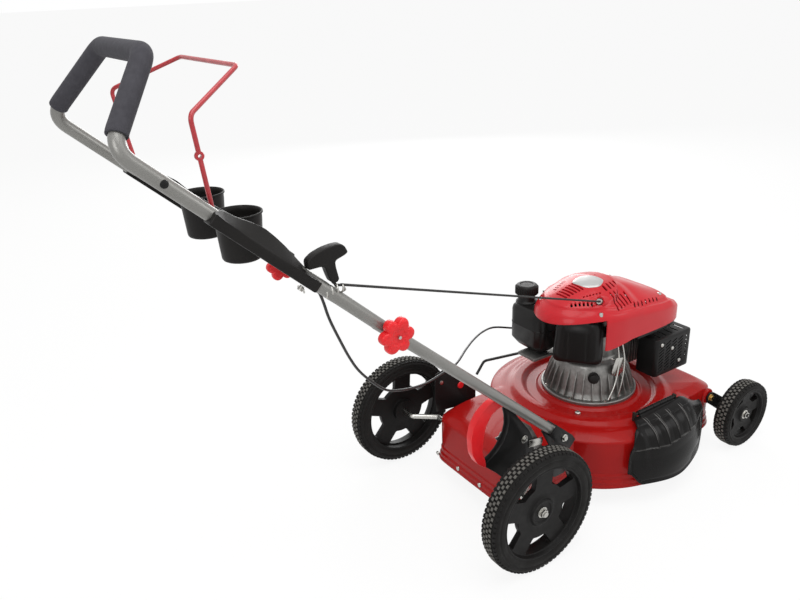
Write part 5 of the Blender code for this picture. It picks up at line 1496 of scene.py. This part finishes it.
def makeKnobs(k):
    x, z = handle["clamp"]
    deep = k["outY"] - k["inY"]
    r = k["radius"] / (1 + k["star"])

    def star(angle, radius):
        # six rounded points at the rim, fading to a circle towards the middle
        share = ramp(0.008, 0.018, radius)
        wave = abs(math.cos(k["lobes"] / 2 * angle)) ** 2
        return 1 + k["star"] * share * (2 * (wave + 0.006) ** 0.36 - 1)

    profile = [
        (0, 0, 0), (r * 0.80, 0, 0.001), (r * 0.98, 0.0015, 0.0015), (r, deep * 0.45, 0.003),
        (r * 0.97, deep * 0.80, 0.002), (r * 0.84, deep * 0.97, 0.002), (r * 0.52, deep, 0.0015),
        (r * 0.46, deep * 0.90, 0.001), (r * 0.20, deep * 0.86, 0.001), (0, deep * 0.86, 0),
    ]
    points = arcs(profile, 4)
    for side, sign in leftRight:
        made = turned(f"starKnob_{side}", points, 96, (x, sign * k["inY"], z), (0, sign, 0), lobes=star)
        fit(made, "mouldedRedNylon", f"clamp_knob_{side}", "engine_red", f"knob_{side}", smoothDeg=50)


makeKnobs(knob)
print("knobs made")


bail = {
    "corners": ((-0.574, 0.1905, 0.86135), (-0.574, 0.180, 0.86135), (-0.594, 0.196, 1.006), (-0.491, 0.121, 1.055)),
    "bends": (0.006, 0.014, 0.016),
    "rodR": 0.0035,
    "eye": (-0.5866, -0.1900, 0.9510),
    "eyeR": 0.0026,
    "ring": ((0.0026, -0.0026), (0.0060, -0.0026), (0.0066, -0.0018), (0.0066, 0.0018), (0.0060, 0.0026),
             (0.0026, 0.0026)),
    "bushAt": (-0.574, 0.1835, 0.86135),
    "bush": ((0.0040, -0.0030), (0.0080, -0.0030), (0.0086, -0.0016), (0.0086, 0.0024), (0.0078, 0.0036),
             (0.0040, 0.0036)),
}


def makeBail(b):
    rod = bar("rod", mirrored(b["corners"], b["bends"]), b["rodR"], 20, "redPowderCoat")
    carve(rod, turned("hole", solidRod(b["eyeR"], -0.0080, 0.0080), 24, b["eye"], (0, 1, 0)))
    made = gathered("bailRod", [rod, turned("eye", b["ring"], 32, b["eye"], (0, 1, 0), loop=True)])
    fit(made, "redPowderCoat", "bail_lever", "bail_red", "bail", smoothDeg=50)
    x, y, z = b["bushAt"]
    bushes = [turned("bush", b["bush"], 32, (x, sign * y, z), (0, sign, 0), loop=True) for sign in (1, -1)]
    fit(gathered("bailBushes", bushes), "mouldedPolypropylene", "upper_handle", "black_plastic")


makeBail(bail)
print("bail made")


grip = {
    "low": -0.2085,
    "high": -0.1920,
    "outline": ((-0.4515, 0.7745), (-0.439, 0.783), (-0.421, 0.7885), (-0.404, 0.7905), (-0.392, 0.790), (-0.385, 0.785),
                (-0.380, 0.774), (-0.386, 0.7705), (-0.4035, 0.765), (-0.403, 0.755), (-0.3985, 0.734), (-0.4025, 0.7295),
                (-0.4125, 0.7305), (-0.4165, 0.740), (-0.4215, 0.757), (-0.427, 0.7605), (-0.441, 0.7605),
                (-0.450, 0.760)),
}

guide = {
    "radius": 0.0088,
    "from": (-0.3935, -0.2005, 0.7190),
    "to": (-0.4240, -0.2005, 0.7145),
    "wireR": 0.0015,
    "turns": 3.2,
    "sideY": -0.2003,
    "footX": -0.392,
    "footTurn": (0.004, -0.005, 0.004),
    "tubeLean": 0.745,  # the handle's angle to the ground
    "nutX": -0.462,
    "nutDrop": 0.0104,
    "nutAxis": (0.678, 0, 0.735),
    "hub": ((0, -0.0042), (0.0042, -0.0042), (0.0036, 0.0040), (0, 0.0040)),
    "wing": ((0, -0.0026), (0.0055, -0.0026), (0.0100, -0.0060), (0.0118, -0.0036), (0.0105, 0.0014), (0.0050, 0.0030),
             (0, 0.0030)),
}


def cordPiece(name, path, c, bodies, ends, *nodes):
    # a piece of rope or cable swept along its path
    made = bar(name, path, c["radius"], 16, c["finish"])
    dressed(made, c["finish"], 50)
    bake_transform(made)
    if nodes:
        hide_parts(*nodes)
    return made


def makeGrip(g):
    outline = roundedOutline(g["outline"], 0.006, 5)
    made = pushed("starterHandle", outline, g["low"], g["high"], "xz", 0.0042, 4)
    fit(made, "mouldedPolypropylene", "starter_pull", "black_plastic", "starter_grip", smoothDeg=45)


def makeRope(r):
    start, gripEnd, line = ropeStart(), Vector(r["gripEnd"]), ropeLine()
    bend = start + Vector((-0.0075, 0, 0.0008))
    path = bentPath([gripEnd, bend, start - line * 0.006], (0.006,), 8)
    cordPiece("starterRopeStub", path, r, ("upper_handle", "starter_pull"), (start, gripEnd))

    engineEnd = ropeEnd() - line * 0.004
    share = (r["splitX"] - engineEnd.x) / (start.x - engineEnd.x)
    middle = engineEnd + (start - engineEnd) * share
    low = [engineEnd + (middle - engineEnd) * (k / 60) for k in range(61)]
    high = [middle + (start - middle) * (k / 12) for k in range(13)]
    made = cordPiece("starterRopeLower", low, r, ("mower", "lower_handle"), (engineEnd, middle), "starter_rope")
    made = cordPiece("starterRopeUpper", high, r, ("lower_handle", "upper_handle"), (middle, start))


def makeGuide(g):
    first, last = Vector(g["from"]), Vector(g["to"])
    line = (last - first).normalized()
    across = line.orthogonal().normalized()
    other = line.cross(across)
    coil = []
    steps = 96
    for k in range(steps + 1):
        angle = 2 * math.pi * g["turns"] * k / steps
        spoke = across * math.cos(angle) + other * math.sin(angle)
        coil.append(last + (first - last) * (k / steps) + spoke * g["radius"])
    slant = handle["tubeR"] / math.cos(g["tubeLean"])
    foot = Vector((g["footX"], g["sideY"], lineZ(g["footX"]) + slant + 0.0008))
    leg = bentPath([coil[-1], foot + Vector(g["footTurn"]), foot], (0.004,), 6)
    made = bar("ropeGuideWire", coil + leg[1:], g["wireR"], 12, "zincPlatedSteel")
    fit(made, "zincPlatedSteel", "upper_handle", "plated_steel", "rope_guide", smoothDeg=50)

    spot = Vector((g["nutX"], g["sideY"], lineZ(g["nutX"]) - slant - g["nutDrop"]))
    nut = [turned("hub", g["hub"], 24, spot, g["nutAxis"])]
    for sign in (1, -1):
        outline = [(a * sign, b) for a, b in g["wing"]][::sign]
        wing = pushed("wing", roundedOutline(outline, 0.0014, 3), -0.0009, 0.0009, "yz", 0.0004)
        wing.data.transform(Matrix.Translation(spot))
        nut.append(wing)
    fit(gathered("wingNutForged", nut), "zincPlatedSteel", "upper_handle", "plated_steel", "wing_nut", smoothDeg=40)


cable = {
    "radius": 0.0025,
    "finish": "pvcSleeve",
    "slot": "cable_black",
    "stiffness": "medium",
    "lay": "hanging",
    "splitAt": 8,
    "route": (
        (-0.4292, -0.182, 0.7195), (-0.4235, -0.1805, 0.7120), (-0.4140, -0.175, 0.690), (-0.400, -0.165, 0.651),
        (-0.375, -0.150, 0.598), (-0.352, -0.137, 0.553), (-0.328, -0.124, 0.515), (-0.294, -0.110, 0.475),
        (-0.252, -0.094, 0.436), (-0.191, -0.070, 0.407), (-0.127, -0.045, 0.388), (-0.073, -0.025, 0.383),
        (-0.011, 0.005, 0.375), (0.060, 0.060, 0.367), (0.124, 0.110, 0.355), (0.186, 0.150, 0.343),
        (0.240, 0.172, 0.331), (0.300, 0.172, 0.312), (0.360, 0.158, 0.296), (0.420, 0.138, 0.288),
        (0.465, 0.104, 0.286), (0.488, 0.0885, 0.286), (0.5074, 0.0860, 0.286),
    ),
}


def makeCable(c):
    steps = 8
    path = easyRoute(c["route"], steps)
    split = c["splitAt"] * steps
    high, low = path[: split + 1], path[split:]
    ends = (path[split], path[0])
    made = cordPiece("brakeCableUpper", high, c, ("lower_handle", "upper_handle"), ends, "brake_cable")
    made = cordPiece("brakeCableLower", low, c, ("mower", "lower_handle"), (path[-1], path[split]))


makeGrip(grip)
makeRope(rope)
makeGuide(guide)
makeCable(cable)
print("starter handle, rope and cable made")


cover = {
    "hinge": (-0.193, 0.2035),
    "rearX": 0.294,
    "frontX": 0.585,
    "topZ": ((0.294, 0.156), (0.334, 0.191), (0.354, 0.199), (0.510, 0.201), (0.585, 0.172)),
    "topY": ((0.294, -0.247), (0.334, -0.222), (0.354, -0.198), (0.510, -0.197), (0.585, -0.204)),
    "lowZ": ((0.294, 0.092), (0.330, 0.058), (0.438, 0.050), (0.540, 0.064), (0.585, 0.105)),
    "ledgeZ": ((0.294, 0.153), (0.319, 0.147), (0.405, 0.137), (0.4855, 0.141), (0.585, 0.150)),
    "bulgeR": 0.275,
    "wall": 0.003,
    "columns": 290,
    "levels": 120,
    # where each step starts at the hinge, and how far it leans
    "stepsX": ((0.372, 0.004), (0.408, 0.004), (0.4445, 0.004), (0.489, 0.002)),
    "stepDepth": 0.0038,
    "deepest": 0.0040,
    "beadHeight": 0.0016,
    "bandDepth": 0.0016,
    "barrelR": 0.0055,
    "barrel": (0.370, 0.495),
    "knuckles": 5,
    "web": ((-0.1975, 0.2005), (-0.1952, 0.2029), (-0.2055, 0.1990), (-0.2065, 0.1955)),
}


def coverRelief(c, x, z):
    # how far the steps and the ledge lie under the outer skin
    ledge = softBetween(c["ledgeZ"], x)
    below = ramp(ledge + 0.0012, ledge - 0.0012, z)
    steps = 0.0
    for start, lean in c["stepsX"]:
        past = x - start - lean * ramp(0.197, 0.168, z)
        steps += c["stepDepth"] * ramp(-0.0006, 0.0014, past) * (1 - ramp(0.004, 0.036, past))
        steps -= c["beadHeight"] * math.exp(-((past + 0.0022) / 0.0016) ** 2)
    band = ramp(0.1945, 0.1925, z)
    relief = (steps + c["bandDepth"]) * band * (1 - below)
    relief -= c["beadHeight"] * math.exp(-((z - ledge - 0.0022) / 0.0018) ** 2) * ramp(0.306, 0.312, x)
    relief += below * 0.0052 * (1 - 0.8 * ramp(0.0, 0.060, ledge - z))
    edge = min(x - c["rearX"], c["frontX"] - x)
    low = z - softBetween(c["lowZ"], x)
    rim = min(edge, max(low, 0))
    right = ramp(0.480, 0.500, x)
    for distance, share in ((0.0085, 1), (0.0150, right), (0.0215, right)):
        relief += 0.0018 * math.exp(-((rim - distance) / 0.0012) ** 2) * below * share
    return min(relief, c["deepest"]) * ramp(0.0, 0.005, edge) * ramp(0.0, 0.004, low)


def coverHighlightLines(c, x, z):
    # 1 on the raised lines, which get a pale painted highlight; the faces between them get none
    ledge = softBetween(c["ledgeZ"], x)
    below = ramp(ledge + 0.0012, ledge - 0.0012, z)
    lines = 0.0
    for start, lean in c["stepsX"]:
        past = x - start - lean * ramp(0.197, 0.168, z)
        lines += math.exp(-((past + 0.0022) / 0.0007) ** 2) + 0.6 * math.exp(-((past - 0.0046) / 0.0006) ** 2)
    lines *= ramp(0.1990, 0.1970, z) * (1 - below) * ramp(0.146, 0.182, z)
    lines += 0.25 * math.exp(-((z - ledge - 0.0022) / 0.0010) ** 2) * ramp(0.306, 0.312, x)
    edge = min(x - c["rearX"], c["frontX"] - x)
    rim = min(edge, max(z - softBetween(c["lowZ"], x), 0))
    right = ramp(0.480, 0.520, x) * ramp(0.090, 0.120, z)
    for distance in (0.0115, 0.0182):
        lines += 0.6 * math.exp(-((rim - distance) / 0.0010) ** 2) * below * right
    return lines * ramp(0.0, 0.005, edge)


def coverSheet(c):
    wall = c["wall"]
    rows = []
    for i in range(c["columns"] + 1):
        x = c["rearX"] + (c["frontX"] - c["rearX"]) * i / c["columns"]
        bulge = math.sqrt(c["bulgeR"] ** 2 - (x - 0.425) ** 2)
        start = Vector((softBetween(c["topY"], x), softBetween(c["topZ"], x)))
        end = Vector((-bulge, softBetween(c["lowZ"], x)))
        middle = Vector((-bulge, start.y))
        outside, inside = [], []
        for k in range(c["levels"] + 1):
            t = k / c["levels"]
            spot = bent(start, middle, end, t)
            slope = ((middle - start) * (1 - t) + (end - middle) * t).normalized()
            inward = Vector((-slope.y, slope.x))
            if inward.x < 0 or (abs(inward.x) < 1e-6 and inward.y > 0):
                inward = -inward
            relief = coverRelief(c, x, spot.y)
            face = spot + inward * relief
            deep = spot + inward * (wall + relief * 0.6)
            outside.append((x, face.x, face.y))
            inside.append((x, deep.x, deep.y))
        rows.append(outside + inside[::-1])
    return skin("coverSheet", rows)


def makeCover(c):
    sheet = coverSheet(c)
    first, last = c["barrel"]
    r, count = c["barrelR"], c["knuckles"]
    profile = [(0.0029, first)]
    for k in range(count):
        a = first + (last - first) * k / count
        b = first + (last - first) * (k + 1) / count
        profile += [(r - 0.0009, a), (r, a + 0.0010), (r, b - 0.0010), (r - 0.0009, b)]
    profile.append((0.0029, last))
    barrel = turned("barrel", profile, 36, (0, *c["hinge"]), (1, 0, 0), loop=True)
    strap = pushed("strap", c["web"], first + 0.001, last - 0.001, "yz", 0.0004)
    made = gathered("dischargeChuteCover", [sheet, barrel, strap])
    fit(made, "glossPolypropylene", "cover", "black_plastic", "discharge_cover", smoothDeg=40)
    # paints a pale highlight along the cover's raised lines
    paintHighlight(made, lambda p: coverHighlightLines(c, p.x - rearAxleX, p.z))


makeCover(cover)
print("discharge cover made")


lever = {
    "plateLow": -0.1555,
    "plateHigh": -0.1518,
    "plate": ((0.040, 0.118), (0.070, 0.118), (0.079, 0.150), (0.078, 0.200), (0.072, 0.235), (0.062, 0.256),
              (0.030, 0.300), (-0.006, 0.351), (-0.013, 0.353), (-0.016, 0.346), (-0.010, 0.322), (-0.009, 0.299),
              (-0.014, 0.282), (-0.022, 0.267), (-0.034, 0.252), (-0.049, 0.241), (-0.064, 0.234), (-0.062, 0.216),
              (-0.030, 0.186), (0.016, 0.136)),
    "band": ((-0.0125, 0.346), (-0.007, 0.322), (-0.006, 0.299), (-0.011, 0.281), (-0.0195, 0.265), (-0.032, 0.2495),
             (-0.048, 0.238), (-0.0605, 0.2315), (-0.0595, 0.2215), (-0.046, 0.228), (-0.027, 0.240), (-0.011, 0.257),
             (-0.001, 0.276), (0.004, 0.298), (0.003, 0.321), (-0.004, 0.343)),
    "gripLow": -0.1618,
    "gripHigh": -0.1455,
    "grip": ((-0.0095, 0.3530), (-0.0120, 0.3610), (-0.020, 0.366), (-0.035, 0.370), (-0.053, 0.367), (-0.081, 0.349),
             (-0.096, 0.327), (-0.102, 0.299), (-0.099, 0.262), (-0.086, 0.235), (-0.0626, 0.2155), (-0.0646, 0.2345),
             (-0.073, 0.258), (-0.070, 0.286), (-0.065, 0.315), (-0.050, 0.338), (-0.031, 0.348), (-0.0166, 0.3466),
             (-0.0134, 0.3534)),
    "bores": ((0.055, 0.135, 0.0062), (0.048, 0.240, 0.0032)),  # x, z, radius: the axle and the lever bolt
}


def makeLever(v):
    low, high = v["plateLow"], v["plateHigh"]
    plate = pushed("leverSheet", roundedOutline(v["plate"], 0.006, 4), low, high, "xz", 0.0006)
    for x, z, radius in v["bores"]:
        carve(plate, turned("bore", solidRod(radius, -0.17, -0.14), 32, (x, 0, z), (0, 1, 0)))
    band = pushed("band", roundedOutline(v["band"], 0.004, 3), low - 0.0010, low + 0.0004, "xz", 0.0007)
    made = gathered("heightLeverSheet", [plate, band])
    fit(made, "blackPowderCoat", "rear_axle_body", "black_plastic", "lever_plate")
    made = pushed("leverGripD", roundedOutline(v["grip"], 0.008, 5), v["gripLow"], v["gripHigh"], "xz", 0.0052, 4)
    fit(made, "mouldedRedNylon", "rear_axle_body", "grip_red", "lever_grip", smoothDeg=50)


def fineBolt(name, node, spot, axis, washer, head, finish, body, slotName):
    # washer and head are (radius, from, to) along the axis; the head is a hexagon with a domed end
    base = (spot[0], 0, spot[1])
    r, a, b = washer
    ring = turned("washer", [(0, a), (r, a), (r, b - 0.0004), (r - 0.0005, b), (0, b)], 40, base, axis)
    r, a, b = head
    profile = [(0, a), (r, a), (r, b - 0.0007), (r - 0.0010, b), (0, b + 0.0003)]
    made = gathered(name, [ring, turned("flats", profile, 48, base, axis, lobes=hexagon)])
    fit(made, finish, body, slotName, node, smoothDeg=30)


def softCopy(node, name, width, finish, body, slotName):
    source = frame["nodes"][node]
    mesh = source.data.copy()
    mesh.transform(source.matrix_world)
    work = bmesh.new()
    work.from_mesh(mesh)
    bmesh.ops.remove_doubles(work, verts=work.verts, dist=2e-6)
    bmesh.ops.dissolve_limit(work, angle_limit=math.radians(1), verts=work.verts, edges=work.edges)
    bmesh.ops.recalc_face_normals(work, faces=work.faces)
    work.to_mesh(mesh)
    work.free()
    made = bevelled(linked(name, mesh), width)
    return fit(made, finish, body, slotName, node)


gear = {
    "rearRod": ((0, 0.2775, 0.140), (0, 0.205, 0.140), (0.055, 0.170, 0.135)),
    "rodR": 0.006,
    "bendR": 0.012,
    # new piece, node, (x, z), washer, head, finish, body, slot
    "sideBolts": (
        ("pivotBoltFine", "pivot_bolt", (0.132, 0.229), (0.0085, 0.1914, 0.1932), (0.0065, 0.1930, 0.1970),
         "zincPlatedSteel", "mower", "plated_steel"),
        ("axleBoltFine", "front_bolt", (0.660, 0.142), (0.0100, 0.1893, 0.1908), (0.0075, 0.1906, 0.1953),
         "yellowZinc", "front_axle_body", "brass_bolt"),
    ),
    # node, new piece, edge, finish, body, slot
    "copies": (
        ("height_quadrant", "quadrantCasting", 0.0006, "castAluminium", "mower", "cast_aluminium"),
        ("lever_tongue", "leverTongueSteel", 0.0004, "zincPlatedSteel", "rear_axle_body", "plated_steel"),
        ("front_axle", "frontAxleArms", 0.0006, "blackPowderCoat", "front_axle_body", "black_paint"),
    ),
    "plug": ("oil_plug", "oilPlugMoulding", 0.0005, "mouldedPolypropylene", "mower", "black_plastic"),
    # the small red piece and the screw that show on the far bracket: name, profile, sides, place, finish, slot
    "onBracket": (
        ("latchDisc", ((0, 0), (0.0085, 0), (0.0092, 0.0010), (0.0080, 0.0040), (0, 0.0046)), 32,
         (0.122, 0.1627, 0.208), "mouldedRedNylon", "grip_red"),
        ("bracketScrew", ((0, 0), (0.0055, 0), (0.0050, 0.0020), (0, 0.0030)), 24,
         (0.063, 0.1627, 0.234), "zincPlatedSteel", "plated_steel"),
    ),
}


def makeGear(g):
    rod = bar("rearAxleRod", mirrored(g["rearRod"], [g["bendR"]] * 2, 8), g["rodR"], 28, "zincPlatedSteel")
    fit(rod, "zincPlatedSteel", "rear_axle_body", "plated_steel", "rear_axle", smoothDeg=50)
    for side, sign in leftRight:
        softCopy(f"handle_bracket_{side}", f"bracketPlates_{side}", 0.0007, "blackPowderCoat", "mower", "black_paint")
        for name, node, *values in g["sideBolts"]:
            fineBolt(f"{name}_{side}", f"{node}_{side}", values[0], (0, sign, 0), *values[1:])
    for row in g["copies"]:
        softCopy(*row)
    fineBolt("leverBoltFine", "lever_bolt", lever["bores"][1][:2], (0, -1, 0), (0.0090, 0.1558, 0.1570),
             (0.0060, 0.1568, 0.1605), "zincPlatedSteel", "rear_axle_body", "plated_steel")
    softCopy(*g["plug"])
    for name, profile, count, place, finish, slotName in g["onBracket"]:
        fit(turned(name, profile, count, place, (0, -1, 0)), finish, "mower", slotName)


makeLever(lever)
makeGear(gear)
print("lever, brackets and axles made")


# the record's slots and the finish that each one shows
slotFinish = {
    "deck_red": "glossEnamel",
    "engine_red": "mouldedRedAbs",
    "grip_red": "mouldedRedNylon",
    "bail_red": "redPowderCoat",
    "black_plastic": "mouldedPolypropylene",
    "black_paint": "blackPowderCoat",
    "tyre_black": "foamedTyre",
    "foam_grey": "evaFoam",
    "cable_black": "pvcSleeve",
    "rope_black": "braidedNylon",
    "tube_grey": "silverPowderCoat",
    "plated_steel": "zincPlatedSteel",
    "dark_steel": "heatDarkenedSteel",
    "cast_aluminium": "castAluminium",
    "brass_bolt": "yellowZinc",
}
for part in frame["record"]["subparts"]:
    obj = frame["nodes"][part["node"]]
    finish = "heatDarkenedSteel" if part["node"] == "cover_hinge_rod" else slotFinish[part["material_slot"]]
    obj.data.materials.clear()
    obj.data.materials.append(surface[finish])
print("CAD nodes dressed")
